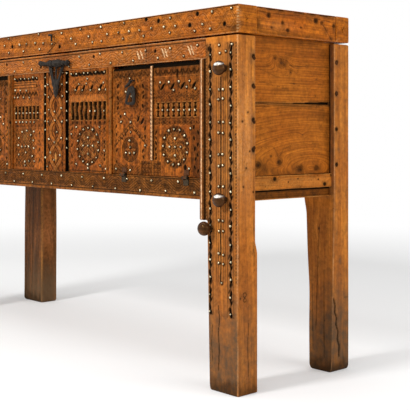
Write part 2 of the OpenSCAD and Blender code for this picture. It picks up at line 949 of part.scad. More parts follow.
module door_hinge_eyes() {
    place() color(iron) for (x = door_hinges) difference() {
        union() {
            block([x - strap_half, x + strap_half], [-strap_t, 0],
                [eye_z - strap_z[1], eye_z - strap_z[0]]);
            for (s = [-1, 1]) {
                a = x + s * eye_half;
                b = x + s * (eye_half + eye_w);
                bar_x(eye_r, [min(a, b), max(a, b)], -eye_out, eye_z);
                block([min(a, b), max(a, b)], [-eye_out, -0.5], [eye_z - strap_z[0] - 1, eye_z]);
            }
        }
        bar_x(eye_pin_r + run_fit, [x - 2 * strap_half, x + 2 * strap_half], -eye_out, eye_z);
    }
}

module door_hinge_straps() {
    half = eye_half - 0.5;
    place() color(iron) for (x = door_hinges) difference() {
        union() {
            block([x - strap_half, x + strap_half], [door_set - strap_t, door_set],
                [eye_z + strap_z[0], eye_z + strap_z[1]]);
            bar_x(eye_r, [x - half, x + half], -eye_out, eye_z);
            block([x - half, x + half], [-eye_out, door_set - 0.5],
                [eye_z + 1, eye_z + strap_z[0] + 1]);
        }
        bar_x(eye_pin_r + run_fit, [x - 2 * strap_half, x + 2 * strap_half], -eye_out, eye_z);
    }
}

module door_hinge_pins() {
    place() color(iron) for (x = door_hinges)
        bar_x(eye_pin_r, [x - strap_half - 1, x + strap_half + 1], -eye_out, eye_z);
}

// Staple on the door that the pull hangs from
leg_gap = 8;

module pull_staple() {
    place() color(iron) {
        bar_x(pull_pin_r, [pull_x - leg_gap - pull_pin_r, pull_x + leg_gap + pull_pin_r],
            pull_axis_y, pull_axis_z);
        for (s = [-1, 1])
            bar_y(pull_pin_r, pull_x + s * leg_gap, [pull_axis_y, door_set], pull_axis_z);
    }
}

// Stirrup-shaped pull: an eye, two legs and a foot bar round an open middle
pull_top_w = 14;

module drop_pull() {
    eye = pull_pin_r + 3.5;
    place() color(iron) difference() {
        union() {
            bar_x(eye, [pull_x - leg_gap / 2, pull_x + leg_gap / 2], pull_axis_y, pull_axis_z);
            translate([pull_x, 0, pull_axis_z])
                front_shape(pull_axis_y - 3, 6) difference() {
                    polygon([[-leg_gap / 2, 0], [leg_gap / 2, 0], [leg_gap / 2, -eye - 2],
                        [pull_top_w / 2 + 3, -eye - pull_bar], [pull_w / 2, -pull_l + pull_bar],
                        [pull_w / 2 - 4, -pull_l], [-pull_w / 2 + 4, -pull_l],
                        [-pull_w / 2, -pull_l + pull_bar], [-pull_top_w / 2 - 3, -eye - pull_bar],
                        [-leg_gap / 2, -eye - 2]]);
                    polygon([[-2, -eye - 2 * pull_bar], [2, -eye - 2 * pull_bar],
                        [pull_w / 2 - pull_bar, -pull_l + pull_bar],
                        [-pull_w / 2 + pull_bar, -pull_l + pull_bar]]);
                }
        }
        bar_x(pull_pin_r + run_fit, [pull_x - leg_gap, pull_x + leg_gap], pull_axis_y,
            pull_axis_z);
    }
}

// Bar of the hasp, on two feet on the top rail, with a ball at each end
hasp_foot_w = 10;
hasp_foot_x = hasp_l / 2 - 18;
ball_r = 12;

module hasp_bar() {
    place() translate([hasp_x, 0, 0]) color(iron) {
        bar_x(hasp_r, [-hasp_l / 2 + ball_r, hasp_l / 2 - ball_r], -hasp_out, hasp_axis_z);
        for (s = [-1, 1]) {
            translate([s * (hasp_l / 2 - ball_r), -hasp_out, hasp_axis_z]) sphere(r = ball_r);
            block([s * hasp_foot_x - hasp_foot_w / 2 - s * ball_r,
                s * hasp_foot_x + hasp_foot_w / 2 - s * ball_r], [-hasp_out, 0],
                [hasp_axis_z - hasp_r, hasp_axis_z + hasp_r]);
        }
    }
}

// Tongue of the hasp: a sleeve on the bar and a slotted, tapering plate
slot_top = 24;
slot_foot = 84;
slot_in = 3;
slot_foot_w = 5.5;
slot_edge = 13;

module hasp_tongue() {
    place() translate([hasp_x, 0, 0]) color(iron) difference() {
        union() {
            bar_x(sleeve_r, [-sleeve_l / 2, sleeve_l / 2], -hasp_out, hasp_axis_z);
            translate([0, 0, hasp_axis_z]) front_shape(4 - hasp_out, hasp_t)
                polygon([[-sleeve_l / 2, 0], [sleeve_l / 2, 0], [tip_w / 2, -tongue_l],
                    [-tip_w / 2, -tongue_l]]);
        }
        bar_x(hasp_r + run_fit, [-sleeve_l, sleeve_l], -hasp_out, hasp_axis_z);
        for (s = [-1, 1])
            translate([0, 0, hasp_axis_z]) front_shape(-hasp_out, 4 * hasp_t)
                polygon([[s * slot_in, -slot_top], [s * (sleeve_l / 2 - slot_edge), -slot_top],
                    [s * (slot_in + slot_foot_w), -slot_foot], [s * slot_in, -slot_foot]]);
    }
}

// Lid: a frame of four beams, two boards in the rebates, battens below
y_lid_in = lid_front_t;
y_lid_rear = chest_d - lid_rear_t;
x_lid_in = x_end - lid_end_t;
z_rebate = z_all - lid_board_t;
lid_tenon_d = 24;
lid_tenon_set = 12;

module lid_board_space(grow) {
    block([-x_lid_in - grow, x_lid_in + grow],
        [y_lid_in - rebate_w - grow, y_lid_rear + rebate_w + grow],
        [z_rebate - grow, z_all + cut]);
}

module lid_tenons(grow) {
    block([x_lid_in + lid_tenon_set - grow, x_lid_in + lid_tenon_set + tenon_t + grow],
        [y_lid_in - lid_tenon_d - grow, y_lid_rear + lid_tenon_d + grow],
        [z_lid + tenon_inset - grow, z_all - lid_board_t - tenon_inset + grow]);
}

function lid_batten_x(i) = (2 * (i + 0.5) / lid_batten_n - 1) * x_lid_in;

module lid_batten(x, grow) {
    block([x - lid_batten_w / 2 - grow, x + lid_batten_w / 2 + grow],
        [y_lid_in - tongue_d - grow, y_lid_rear + tongue_d + grow],
        [z_rebate - lid_batten_h - grow, z_rebate]);
}

module lid_cuts() {
    lid_board_space(slip);
    for (left = [false, true]) sided(left) lid_tenons(slip);
    for (i = [0:lid_batten_n - 1]) lid_batten(lid_batten_x(i), slip);
}

staple_x = -29;
staple_z = z_all - 17;
staple_r = 4;
staple_root = 20;

module lid_front_beam() {
    place() color(pine) difference() {
        block([-x_end, x_end], [0, lid_front_t], [z_lid, z_all]);
        lid_cuts();
        bar_y(staple_r + slip / 2, staple_x, [-cut, staple_root + slip], staple_z);
    }
}

module lid_rear_beam() {
    place() color(pine) difference() {
        block([-x_end, x_end], [y_lid_rear, chest_d], [z_lid, z_all]);
        lid_cuts();
    }
}

module lid_end_beams() {
    place() color(pine) for (left = [false, true]) sided(left) {
        block([x_lid_in, x_end], [y_lid_in, y_lid_rear], [z_lid, z_all]);
        lid_tenons(0);
    }
}

module lid_boards() {
    y_mid = (y_lid_in + y_lid_rear) / 2;
    place() color(pine) {
        block([-x_lid_in, x_lid_in], [y_lid_in - rebate_w, y_mid - lid_seam / 2],
            [z_rebate, z_all]);
        block([-x_lid_in, x_lid_in], [y_mid + lid_seam / 2, y_lid_rear + rebate_w],
            [z_rebate, z_all]);
    }
}

module lid_battens() {
    place() color(inside_pine)
        for (i = [0:lid_batten_n - 1]) lid_batten(lid_batten_x(i), 0);
}

lid_stud_n = floor((x_end - 60) / lid_pitch);
lid_row_shares = [0.25, 0.52, 0.87];

module lid_studs() {
    place() color(pewter) for (i = [-lid_stud_n:lid_stud_n]) {
        if (abs(i * lid_pitch - staple_x) > lid_pitch / 2)
            stud(i * lid_pitch, 0, z_lid + lid_h * lid_row_shares[1]);
        if (i % 2 == 0) {
            stud((i + 0.5) * lid_pitch, 0, z_lid + lid_h * lid_row_shares[0]);
            if (abs((i + 0.5) * lid_pitch - staple_x) > lid_pitch / 2)
                stud((i + 0.5) * lid_pitch, 0, z_lid + lid_h * lid_row_shares[2]);
        }
    }
}

// Remains of the iron staple: a shank in the beam, an arm to the side and a drop
staple_out = 12;
staple_arm = 15;
staple_drop = 26;

module lid_staple() {
    place() color(iron) {
        bar_y(staple_r, staple_x, [-staple_out, staple_root], staple_z);
        translate([staple_x, -staple_out, staple_z]) sphere(r = staple_r);
        bar_x(staple_r, [staple_x, staple_x + staple_arm], -staple_out, staple_z);
        translate([staple_x + staple_arm, -staple_out, staple_z]) sphere(r = staple_r);
        translate([staple_x + staple_arm, -staple_out, staple_z - staple_drop])
            cylinder(r = staple_r, h = staple_drop);
    }
}

// Lid hinges on the back: leaf plates, knuckles and a pin
knuckle_w = 17;
leaf_clear = 1;

module hinge_knuckle(x0, x1) {
    bar_x(knuckle_r, [x0, x1], chest_d + hinge_out, hinge_z);
}

module hinge_bore() {
    bar_x(pin_r + run_fit, [-leaf_w, leaf_w], chest_d + hinge_out, hinge_z);
}

module lid_hinge_lower_leaves() {
    place() color(iron) for (side = [-1, 1]) translate([side * hinge_x, 0, 0]) difference() {
        union() {
            block([-leaf_w / 2, leaf_w / 2], [chest_d, chest_d + leaf_t],
                [hinge_z - leaf_h, hinge_z - knuckle_r - leaf_clear]);
            for (s = [0, 1]) mirror([s, 0, 0]) {
                hinge_knuckle(knuckle_w / 2 + leaf_clear / 2, leaf_w / 2);
                block([knuckle_w / 2 + leaf_clear / 2, leaf_w / 2], [chest_d, chest_d + leaf_t],
                    [hinge_z - knuckle_r - 2 * leaf_clear, hinge_z]);
            }
        }
        hinge_bore();
    }
}

module lid_hinge_upper_leaves() {
    place() color(iron) for (side = [-1, 1]) translate([side * hinge_x, 0, 0]) difference() {
        union() {
            block([-leaf_w / 2, leaf_w / 2], [chest_d, chest_d + leaf_t],
                [hinge_z + knuckle_r + leaf_clear, hinge_z + leaf_h]);
            hinge_knuckle(-knuckle_w / 2, knuckle_w / 2);
            block([-knuckle_w / 2, knuckle_w / 2], [chest_d, chest_d + leaf_t],
                [hinge_z, hinge_z + knuckle_r + 2 * leaf_clear]);
        }
        hinge_bore();
    }
}

module lid_hinge_pins() {
    place() color(iron) for (side = [-1, 1])
        bar_x(pin_r, [side * hinge_x - leaf_w / 2, side * hinge_x + leaf_w / 2],
            chest_d + hinge_out, hinge_z);
}

post_front_right();
post_front_left();
post_rear_right();
post_rear_left();
front_top_rail();
front_bottom_rail();
rear_top_rail();
rear_bottom_rail();
end_rail_right();
end_rail_left();
end_board_lower_right();
end_board_upper_right();
end_board_lower_left();
end_board_upper_left();
back_board_lower();
back_board_upper();
floor_board_front();
floor_board_middle();
floor_board_rear();
floor_battens();
middle_muntin();
stile_right();
stile_left();
panel_middle_right();
panel_middle_left();
panel_left_inner();
panel_left_outer();
rope_bead_left();
baton_right();
baton_left();
knobs_right();
knobs_left();
joint_pegs();
frame_studs();
post_studs();
panel_studs();
door_board_inner();
door_board_outer();
door_rope_bead();
door_cleats();
door_stop();
door_studs();
door_hinge_eyes();
door_hinge_straps();
door_hinge_pins();
pull_staple();
drop_pull();
hasp_bar();
hasp_tongue();
lid_front_beam();
lid_rear_beam();
lid_end_beams();
lid_boards();
lid_battens();
lid_studs();
lid_staple();
lid_hinge_lower_leaves();
lid_hinge_upper_leaves();
lid_hinge_pins();
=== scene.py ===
import math
import bpy
import numpy as np
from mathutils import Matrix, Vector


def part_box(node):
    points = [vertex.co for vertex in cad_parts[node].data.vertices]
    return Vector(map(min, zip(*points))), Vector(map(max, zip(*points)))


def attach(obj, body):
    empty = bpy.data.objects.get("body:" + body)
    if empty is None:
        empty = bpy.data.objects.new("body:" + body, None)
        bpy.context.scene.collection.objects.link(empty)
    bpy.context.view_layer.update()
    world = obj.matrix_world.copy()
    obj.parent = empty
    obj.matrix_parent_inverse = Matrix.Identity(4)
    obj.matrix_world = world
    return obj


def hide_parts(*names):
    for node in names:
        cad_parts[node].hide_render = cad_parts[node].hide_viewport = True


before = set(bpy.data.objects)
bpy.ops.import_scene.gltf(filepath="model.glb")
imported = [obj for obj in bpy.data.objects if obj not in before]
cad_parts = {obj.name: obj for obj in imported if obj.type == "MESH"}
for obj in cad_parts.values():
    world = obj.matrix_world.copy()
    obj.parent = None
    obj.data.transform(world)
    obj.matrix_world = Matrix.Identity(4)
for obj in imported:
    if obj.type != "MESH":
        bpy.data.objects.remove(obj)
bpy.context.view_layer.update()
mm = 0.001


# Low and high corners of the CAD pieces, in millimetres
def corners(node):
    low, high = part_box(node)
    return np.array(low) / mm, np.array(high) / mm


def sidesOf(node):
    low, high = corners(node)
    return low[0], high[0]


frontY = corners("post_front_right")[0][1]  # front face of the posts and rails
endX, _, topZ = corners("post_front_right")[1]
sillZ = corners("front_bottom_rail")[1][2]
headZ = corners("front_top_rail")[0][2]

# Camera at the photograph's place, level, looking left along the front
camera = {
    "place": (2.6723, -2.0002, 0.7004),
    "turn": 47.518,  # degrees from straight on
    "lens": 83.74,
    "shiftY": -0.172,
}


def addCamera():
    data = bpy.data.cameras.new("photoCamera")
    data.lens = camera["lens"]
    data.sensor_width = 36
    data.shift_y = camera["shiftY"]
    data.clip_end = 60
    eye = bpy.data.objects.new("photoCamera", data)
    eye.location = camera["place"]
    eye.rotation_euler = (math.radians(90), 0, math.radians(camera["turn"]))
    bpy.context.scene.collection.objects.link(eye)
    bpy.context.scene.camera = eye


addCamera()
bpy.context.scene.view_settings.view_transform = "Standard"
print("camera set")


def smooth(t):
    t = np.clip(t, 0, 1)
    return t * t * (3 - 2 * t)


# Hand-planed unevenness: six sine waves of seeded direction and phase
def uneven(a, c, seed, wave=120.0):
    rng = np.random.default_rng(seed)
    total = np.zeros(np.broadcast(a, c).shape)
    for i in range(6):
        size = wave * (0.35 + rng.random())
        tilt = rng.random() * math.tau
        total = total + np.sin(
            (a * math.sin(tilt) + c * 0.4 * math.cos(tilt)) * math.tau / size
            + rng.random() * math.tau
        )
    return total / 6


# Mean over a square of (2k+1) cells, by running sums along each way
def blur(field, k):
    for axis in (0, 1):
        padded = np.pad(field, [(k + 1, k) if i == axis else (0, 0) for i in (0, 1)], "edge")
        run = np.cumsum(padded, axis)
        n = field.shape[axis]
        high = np.take(run, range(2 * k + 1, 2 * k + 1 + n), axis)
        low = np.take(run, range(0, n), axis)
        field = (high - low) / (2 * k + 1)
    return field


# Turned and centred coordinates of a mark
def about(x, z, cx, cz, lean):
    s, c = math.sin(math.radians(lean)), math.cos(math.radians(lean))
    dx, dz = x - cx, z - cz
    return dx * c - dz * s, dx * s + dz * c


# Lens: a V-cut whose half width is w/2 times one minus the squared share of its length
def lens(x, z, cx, cz, w, h, lean=0):
    u, v = about(x, z, cx, cz, lean)
    half = 0.5 * w * (1 - (2 * v / h) ** 2)
    return np.where(half > 0.05, np.clip(1 - np.abs(u) / np.maximum(half, 0.05), 0, 1), 0)


# Slot: a straight-walled cut, drawn in at its waist
def slot(x, z, cx, cz, w, h, waist=0.0, soft=1.6):
    half = 0.5 * w * (1 - waist * np.clip(1 - np.abs(2 * (z - cz) / h), 0, 1))
    return smooth((half - np.abs(x - cx)) / soft) * smooth((h / 2 - np.abs(z - cz)) / soft)


# Groove: a round-bottomed cut where the distance is under half its width
def groove(distance, w):
    return np.clip(1 - (2 * distance / w) ** 2, 0, 1)


def ring(x, z, cx, cz, r, w):
    return groove(np.abs(np.hypot(x - cx, z - cz) - r), w)


# One between two levels, with a soft step at each
def between(v, low, high, soft, softHigh=None):
    return smooth((v - low) / soft) * smooth((high - v) / (softHigh or soft))


# A soft oval spot: exp(-(x/w)^2 - (z/h)^2)
def blot(x, z, cx, cz, w, h):
    return np.exp(-((x - cx) / w) ** 2 - ((z - cz) / h) ** 2)


# Places in a row: the first, the pitch and the count
def row(first, pitch, n):
    return [first + k * pitch for k in range(n)]


# A carving is a depth in millimetres, a painted shade in its cuts from 0, none, to 1, black,
# a dirt film and a pale mark, partly wear and partly painted highlight
class Carving:
    def __init__(self, shape):
        self.depth, self.shade, self.dirt, self.wornAndLit = (np.zeros(shape) for _ in range(4))

    # Pale marks: partly real wear, partly painted highlights such as glints
    def polishAndHighlight(self, field, much):
        self.wornAndLit = np.maximum(self.wornAndLit, np.clip(field, 0, 1) * much)

    # A cut sinks the surface and paints shade into it: painted shade, darkest where the cut is
    def cut(self, field, depth, shade):
        self.depth = np.maximum(self.depth, field * depth)
        self.shade = np.maximum(self.shade, smooth(field * 2.2) * shade)

    # A lowered, dirty ground
    def ground(self, field, depth, dirt):
        self.depth = np.maximum(self.depth, field * depth)
        self.dirt = np.maximum(self.dirt, field * dirt)

    # What is left standing in such a ground
    def lift(self, field):
        self.depth = self.depth * (1 - field)
        self.dirt = self.dirt * (1 - field)

    # Lens cuts from a list of (x, z, width, height, lean)
    def chips(self, x, z, places, depth, shade):
        for cx, cz, w, h, lean in places:
            self.cut(lens(x, z, cx, cz, w, h, lean), depth, shade)

    # Straight lines scored at places along one way
    def lines(self, v, places, w, depth, shade, where=1):
        for place in places:
            self.cut(groove(np.abs(v - place), w) * where, depth, shade)

    # Flat-floored holes from a list of (x, z, radius)
    def holes(self, x, z, places, depth, shade, rim=1.2, wide=1.0):
        for cx, cz, r in places:
            self.cut(np.clip(rim - np.hypot((x - cx) / wide, z - cz) / r, 0, 1), depth, shade)

    # Soft dents from a list of (x, z, radius)
    def dents(self, x, z, places, depth, shade, wide=1.0):
        for cx, cz, r in places:
            self.cut(blot(x, z, cx, cz, wide * r, r), depth, shade)

    # Cracks (width, depth, shade, points), straight between points
    def cracks(self, x, z, places):
        for w, depth, shade, points in places:
            for (x0, z0), (x1, z1) in zip(points, points[1:]):
                run = (x - x0) * (x1 - x0) + (z - z0) * (z1 - z0)
                run = np.clip(run / ((x1 - x0) ** 2 + (z1 - z0) ** 2), 0, 1)
                away = np.hypot(x - x0 - run * (x1 - x0), z - z0 - run * (z1 - z0))
                self.cut(groove(away, w), depth, shade)

    # Soft stains from a list of (x, z, half width, half height, strength)
    def stains(self, x, z, places):
        for cx, cz, w, h, much in places:
            self.ground(blot(x, z, cx, cz, w, h), 0, much)


# Small leaf-like cuts all over a ground: the product of two bent sine waves
def leafage(x, z, pitchX=11.0, pitchZ=8.0):
    a = np.sin(x * math.tau / pitchX + 1.4 * np.sin(z / 7.0) + 2.0 * np.sin(z / 31.0 + x / 23.0))
    b = np.sin(z * math.tau / pitchZ + 1.2 * np.sin(x / 8.5) + 2.2 * np.sin(x / 27.0 - z / 37.0))
    return smooth(a * b * 1.8 - 0.25 + 0.35 * np.sin(x / 17.0 + 1.3 * np.sin(z / 19.0)))


# Dark rims round stud heads: a shallow dent, with painted shadow set down and to the right
def studShadowRims(work, x, z, places, r=6.6):
    for px, pz in places:
        near = np.hypot(x - px - 1.0, z - pz + 1.2)
        work.cut(smooth((r - near) / 2.4), 0.7, 0.85)


# Faces of a grid of m rings with n points each, closed round the ring
def ringFaces(m, n):
    i, j = np.meshgrid(np.arange(m - 1), np.arange(n), indexing="ij")
    k = (j + 1) % n
    return np.stack([i * n + j, i * n + k, (i + 1) * n + k, (i + 1) * n + j], -1).reshape(-1, 4)


# Volume from the divergence theorem over the fans of all faces
def turnedOut(verts, quads, caps):
    fans = [quads[:, [0, 1, 2]], quads[:, [0, 2, 3]]]
    fans += [np.array([(cap[0], *pair) for pair in zip(cap[1:], cap[2:])]) for cap in caps]
    a, b, c = verts[np.concatenate(fans).T]
    return (a * np.cross(b, c)).sum() > 0


# One mesh from quads, end caps and values on its points
def addMesh(name, verts, quads, caps=(), values=None, uv=None):
    verts = np.asarray(verts, float).reshape(-1, 3)
    quads = np.asarray(quads, int).reshape(-1, 4)
    caps = [list(cap) for cap in caps]
    if not turnedOut(verts, quads, caps):
        quads = quads[:, ::-1]
        caps = [cap[::-1] for cap in caps]
    loops = np.concatenate([quads.ravel()] + [np.array(cap) for cap in caps]).astype(np.int32)
    sizes = np.concatenate([np.full(len(quads), 4), [len(cap) for cap in caps]]).astype(np.int32)
    starts = np.concatenate([[0], np.cumsum(sizes)[:-1]]).astype(np.int32)
    mesh = bpy.data.meshes.new(name)
    mesh.vertices.add(len(verts))
    mesh.vertices.foreach_set("co", (verts * mm).astype(np.float32).ravel())
    mesh.loops.add(len(loops))
    mesh.loops.foreach_set("vertex_index", loops)
    mesh.polygons.add(len(sizes))
    mesh.polygons.foreach_set("loop_start", starts)
    mesh.update(calc_edges=True)
    mesh.validate()
    mesh.polygons.foreach_set("use_smooth", np.ones(len(mesh.polygons), bool))
    if uv is not None:
        order = np.zeros(len(mesh.loops), np.int32)
        mesh.loops.foreach_get("vertex_index", order)
        layer = mesh.uv_layers.new(name="grain")
        layer.data.foreach_set("uv", (uv[order] * mm).astype(np.float32).ravel())
    for key, value in (values or {}).items():
        mark = mesh.attributes.new(key, "FLOAT", "POINT")
        mark.data.foreach_set("value", np.asarray(value, np.float32).ravel())
    piece = bpy.data.objects.new(name, mesh)
    bpy.context.scene.collection.objects.link(piece)
    return piece


# One mesh from several grids of rings: a closed one is joined end to end, others get caps
def joinRings(name, parts, values=None, uv=None):
    verts, quads, caps, count = [], [], [], 0
    for rings, closed in parts:
        m, n = rings.shape[:2]
        verts.append(rings.reshape(-1, 3))
        q = ringFaces(m, n)
        if closed:
            j = np.arange(n)
            last = np.stack([(m - 1) * n + j, (m - 1) * n + (j + 1) % n, (j + 1) % n, j], -1)
            q = np.concatenate([q, last])
        else:
            caps += [list(count + np.arange(n)), list(count + (m - 1) * n + np.arange(n))[::-1]]
        quads.append(q + count)
        count += m * n
    return addMesh(name, np.concatenate(verts), np.concatenate(quads), caps, values, uv)


# Places a finished piece on its body, in its material and for its CAD nodes
def settle(piece, body, slotName, material, *nodes):
    piece.data.materials.append(material)
    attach(piece, body)
    if nodes:
        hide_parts(*nodes)
    return piece


# Grain coordinates: along the board, and w, the distance from a pith line at
# (middle, depth + slope u). Each knot adds a hill h exp(-r^2).
def grainLines(u, v, pith, knots):
    w = v.copy() if pith is None else np.hypot(v - pith[0], pith[1] + pith[2] * u)
    knotMark = np.zeros(u.shape)
    for ku, kv, size, hill in knots:
        w = w + hill * np.exp(-((u - ku) / (2.8 * size)) ** 2 - ((v - kv) / (1.5 * size)) ** 2)
        core = np.hypot((u - ku) / 1.3, v - kv) / (0.45 * size)
        knotMark = np.maximum(knotMark, smooth(1.35 - core))
    return np.stack([u, w], -1), knotMark


# The outline of a timber's section as shares of its width and depth, with millimetres to add:
# a side with a quarter circle after it, turned by a right angle for each of the four
def sectionOutline(counts, corner):
    turn = np.linspace(0, math.pi / 2, 4)[1:3]
    total = sum(counts.values()) + 3 * len(counts)
    outline, where, first = np.zeros((4, total)), {}, 0
    for k, (side, n) in enumerate(counts.items()):
        t = np.linspace(0, 1, n + 1)
        share = np.array([np.append(t, [1, 1]), np.zeros(n + 3)]) - 0.5
        more = corner * np.array([np.append(1 - 2 * t, np.sin(turn) - 1),
                                  np.append(0 * t, 1 - np.cos(turn))])
        for _ in range(k):
            share, more = (np.array([-b, a]) for a, b in (share, more))
        outline[:, first:first + n + 3] = [*(share + 0.5), *more]
        where[side] = np.zeros(total, bool)
        where[side][first:first + n + 1] = True
        first += n + 3
    return outline, where


# A timber: a rounded rectangle carried along its grain. At level c its section runs from
# a0 to a1 across the face and from b0, the face, to b1, the back. Carvings sink its sides.
def timber(name, axes, levels, a, b, faces=None, cell=4.0, corner=2.5, wavy=0.35, seed=1,
           pith=None, knots=(), grime=None, sideCell=7.0, rim=(0.45, 0.4), endShade=0.3,
           endPith=None):
    c = np.asarray(levels, float)
    m = len(c)
    a0, a1, b0, b1 = (np.broadcast_to(np.asarray(v, float), (m,))[:, None] for v in (*a, *b))
    width, depth = abs(a1 - a0).max(), abs(b1 - b0).max()
    sign, wayA = np.sign((b1 - b0)[0, 0]), np.sign((a1 - a0)[0, 0])
    counts = {
        "face": max(4, round(width / cell)), "right": max(2, round(depth / sideCell)),
        "back": max(3, round(width / max(2 * sideCell, cell))),
        "left": max(2, round(depth / (2 * sideCell))),
    }
    (sShare, tShare, sMore, tMore), where = sectionOutline(counts, corner)
    n = len(sShare)
    across = a0 + (a1 - a0) * sShare + wayA * sMore
    into = b0 + (b1 - b0) * tShare + sign * tMore
    along = np.broadcast_to(c[:, None], (m, n)).copy()
    # distance from the nearest long edge and end
    edge = np.maximum(np.minimum(np.abs(across - a0), np.abs(across - a1)),
                      np.minimum(np.abs(into - b0), np.abs(into - b1)))
    fromEnd = np.minimum(along - c[0], c[-1] - along)
    # both ends drawn in round their rim
    drawn = corner * (1 - np.sqrt(1 - (1 - np.clip(fromEnd / corner, 0, 1)) ** 2))
    midA, midB = (a0 + a1) / 2, (b0 + b1) / 2
    outA = np.clip((across - midA) / (np.abs(a1 - a0) / 2), -1, 1)
    outB = np.clip((into - midB) / (np.abs(b1 - b0) / 2), -1, 1)
    across = across - np.where(np.abs(outA) > 0.9, np.sign(outA), outA) * drawn
    into = into - np.where(np.abs(outB) > 0.9, np.sign(outB), outB) * drawn
    # unevenness only sinks the surface, so the piece stays in its box
    hollow = wavy * (1 + uneven(across + into, along, seed))
    across = across - np.sign(outA) * smooth((np.abs(outA) - 0.94) / 0.05) * hollow
    into = into - np.sign(outB) * smooth((np.abs(outB) - 0.94) / 0.05) * hollow
    patch = 0.5 + 0.5 * uneven(across + into, along, seed + 5, 60)
    wear = rim[0] * smooth(1.5 - edge / (0.8 * corner)) * smooth(patch * 1.6)
    dirt = rim[1] * smooth(1 - (np.minimum(edge, fromEnd) - corner) / 13) * (1.1 - patch)
    if grime is not None:
        dirt = np.maximum(dirt, grime(along, across))
    shade = np.zeros((m, n))
    for side, carve in (faces or {}).items():
        at = where[side]
        first = across if side == "face" else into
        work = Carving(along[:, at].shape)
        carve(work, first[:, at], along[:, at])
        if side == "face":
            into[:, at] += sign * work.depth
        else:
            across[:, at] += wayA * work.depth * (1 if side == "left" else -1)
        # painted shade: the cuts' shade also spreads, halved, a little round them
        shade[:, at] = np.maximum(work.shade, 0.5 * blur(work.shade, 2))
        dirt[:, at] = np.maximum(dirt[:, at], work.dirt)
        # raised edges beside a cut are paler: partly wear, partly a painted highlight
        high = np.clip((blur(work.depth, 2) - work.depth) * 0.2, 0, 0.5)
        wear[:, at] = np.maximum(wear[:, at], np.maximum(high, work.wornAndLit))
    v = across + wayA * np.abs(into - b0) * np.where(sShare > 0.5, 1, -1)
    uv, knotMark = grainLines(along, v, pith, knots)
    # end grain: rings drawn in to the middle, with arcs round a pith outside the piece
    shares = np.array([0.05, 0.36, 0.7, 0.97])[:, None]
    fields = {"shade": shade, "wear": wear, "knot": knotMark, "grime": dirt}
    ends = []
    for last in (0, -1):
        endA = midA[last] + (across[last] - midA[last]) * shares
        endB = midB[last] + (into[last] - midB[last]) * shares
        if endPith is None:
            arcs = np.hypot(endA - midA[last] - 0.8 * width, endB - midB[last] - 0.6 * depth)
            grain = np.stack([0.05 * endA, arcs], -1)
        else:  # grain of a board that runs across this end
            grain = grainLines(endB, endA, endPith, ())[0]
        ends.append([endA, endB, np.full(endA.shape, c[last]), grain])
    across, into, along, uv = (np.concatenate([ends[0][k], field, ends[1][k][::-1]])
                               for k, field in enumerate((across, into, along, uv)))
    fade = np.array([0, 0, 0.1, 0.5])[:, None]
    for key, field in fields.items():
        ending, other = field[0] * fade, (field[-1] * fade)[::-1]
        if key == "grime":
            ending, other = ending + endShade, other + endShade
        fields[key] = np.clip(np.concatenate([ending, field, other]), 0, 1)
    verts = np.zeros((m + 8, n, 3))
    for axis, value in zip(["xyz".index(axis) for axis in axes], (across, into, along)):
        verts[..., axis] = value
    caps = [list(range(n)), list(range((m + 7) * n, (m + 8) * n))[::-1]]
    return addMesh(name, verts, ringFaces(m + 8, n), caps, fields, uv.reshape(-1, 2))


# Evenly spaced levels, with two more near each end for the worn rim
def levelsOf(c0, c1, cell, rim=2.5):
    n = max(3, round((c1 - c0 - 2 * rim) / cell))
    inner = np.linspace(c0 + rim, c1 - rim, n)
    return np.concatenate([[c0, c0 + 0.12 * rim, c0 + 0.45 * rim], inner,
                           [c1 - 0.45 * rim, c1 - 0.12 * rim, c1]])


# Adds a node, sets its plain values and its inputs, by name or as i and a number
def addNode(tree, kind, settings=None, **inputs):
    node = tree.nodes.new(kind)
    for key, value in (settings or {}).items():
        setattr(node, key, value)
    for key, value in inputs.items():
        socket = node.inputs[int(key[1:]) if key[1:].isdigit() else key]
        if isinstance(value, bpy.types.NodeSocket):
            tree.links.new(value, socket)
        else:
            socket.default_value = value
    return node


def rgb(r, g, b):
    # Written as screen colours from 0 to 255, turned to linear light
    return tuple(((v / 255 + 0.055) / 1.055) ** 2.4 if v > 10 else v / 3294.6
                 for v in (r, g, b)) + (1.0,)


def newMaterial(name):
    material = bpy.data.materials.new(name)
    material.use_nodes = True
    tree = material.node_tree
    tree.nodes.clear()
    shader = addNode(tree, "ShaderNodeBsdfPrincipled")
    out = addNode(tree, "ShaderNodeOutputMaterial")
    tree.links.new(shader.outputs[0], out.inputs[0])
    return material, tree, shader


def mixColor(tree, factor, first, second, blend="MIX"):
    return addNode(tree, "ShaderNodeMix", {"data_type": "RGBA", "blend_type": blend},
                   i0=factor, i6=first, i7=second).outputs[2]


def maths(tree, operation, first, second=0.0):
    return addNode(tree, "ShaderNodeMath", {"operation": operation}, i0=first, i1=second).outputs[0]


def times(tree, first, second):
    return maths(tree, "MULTIPLY", first, second)


def plus(tree, first, second):
    return maths(tree, "ADD", first, second)


def readMark(tree, name):
    return addNode(tree, "ShaderNodeAttribute", {"attribute_name": name}).outputs["Fac"]


def ramp(tree, value, stops):
    node = addNode(tree, "ShaderNodeValToRGB", None, Fac=value)
    while len(node.color_ramp.elements) < len(stops):
        node.color_ramp.elements.new(0.5)
    for element, (place, color) in zip(node.color_ramp.elements, stops):
        element.position = place
        element.color = color
    return node.outputs["Color"]


# A ramp of greys from pairs of a place and a level
def grayRamp(tree, value, *stops):
    return ramp(tree, value, [(place, (level, level, level, 1)) for place, level in stops])


# Noise at a place, stretched along the grain or not
def noiseAt(tree, vector, stretch=(1, 1, 1), detail=3.0, rough=0.55, shift=0.0):
    placed = addNode(tree, "ShaderNodeMapping", None, Vector=vector, Scale=stretch,
                     Location=(shift, shift, 0))
    return addNode(tree, "ShaderNodeTexNoise", None, Vector=placed.outputs[0], Scale=1.0,
                   Detail=detail, Roughness=rough).outputs["Fac"]
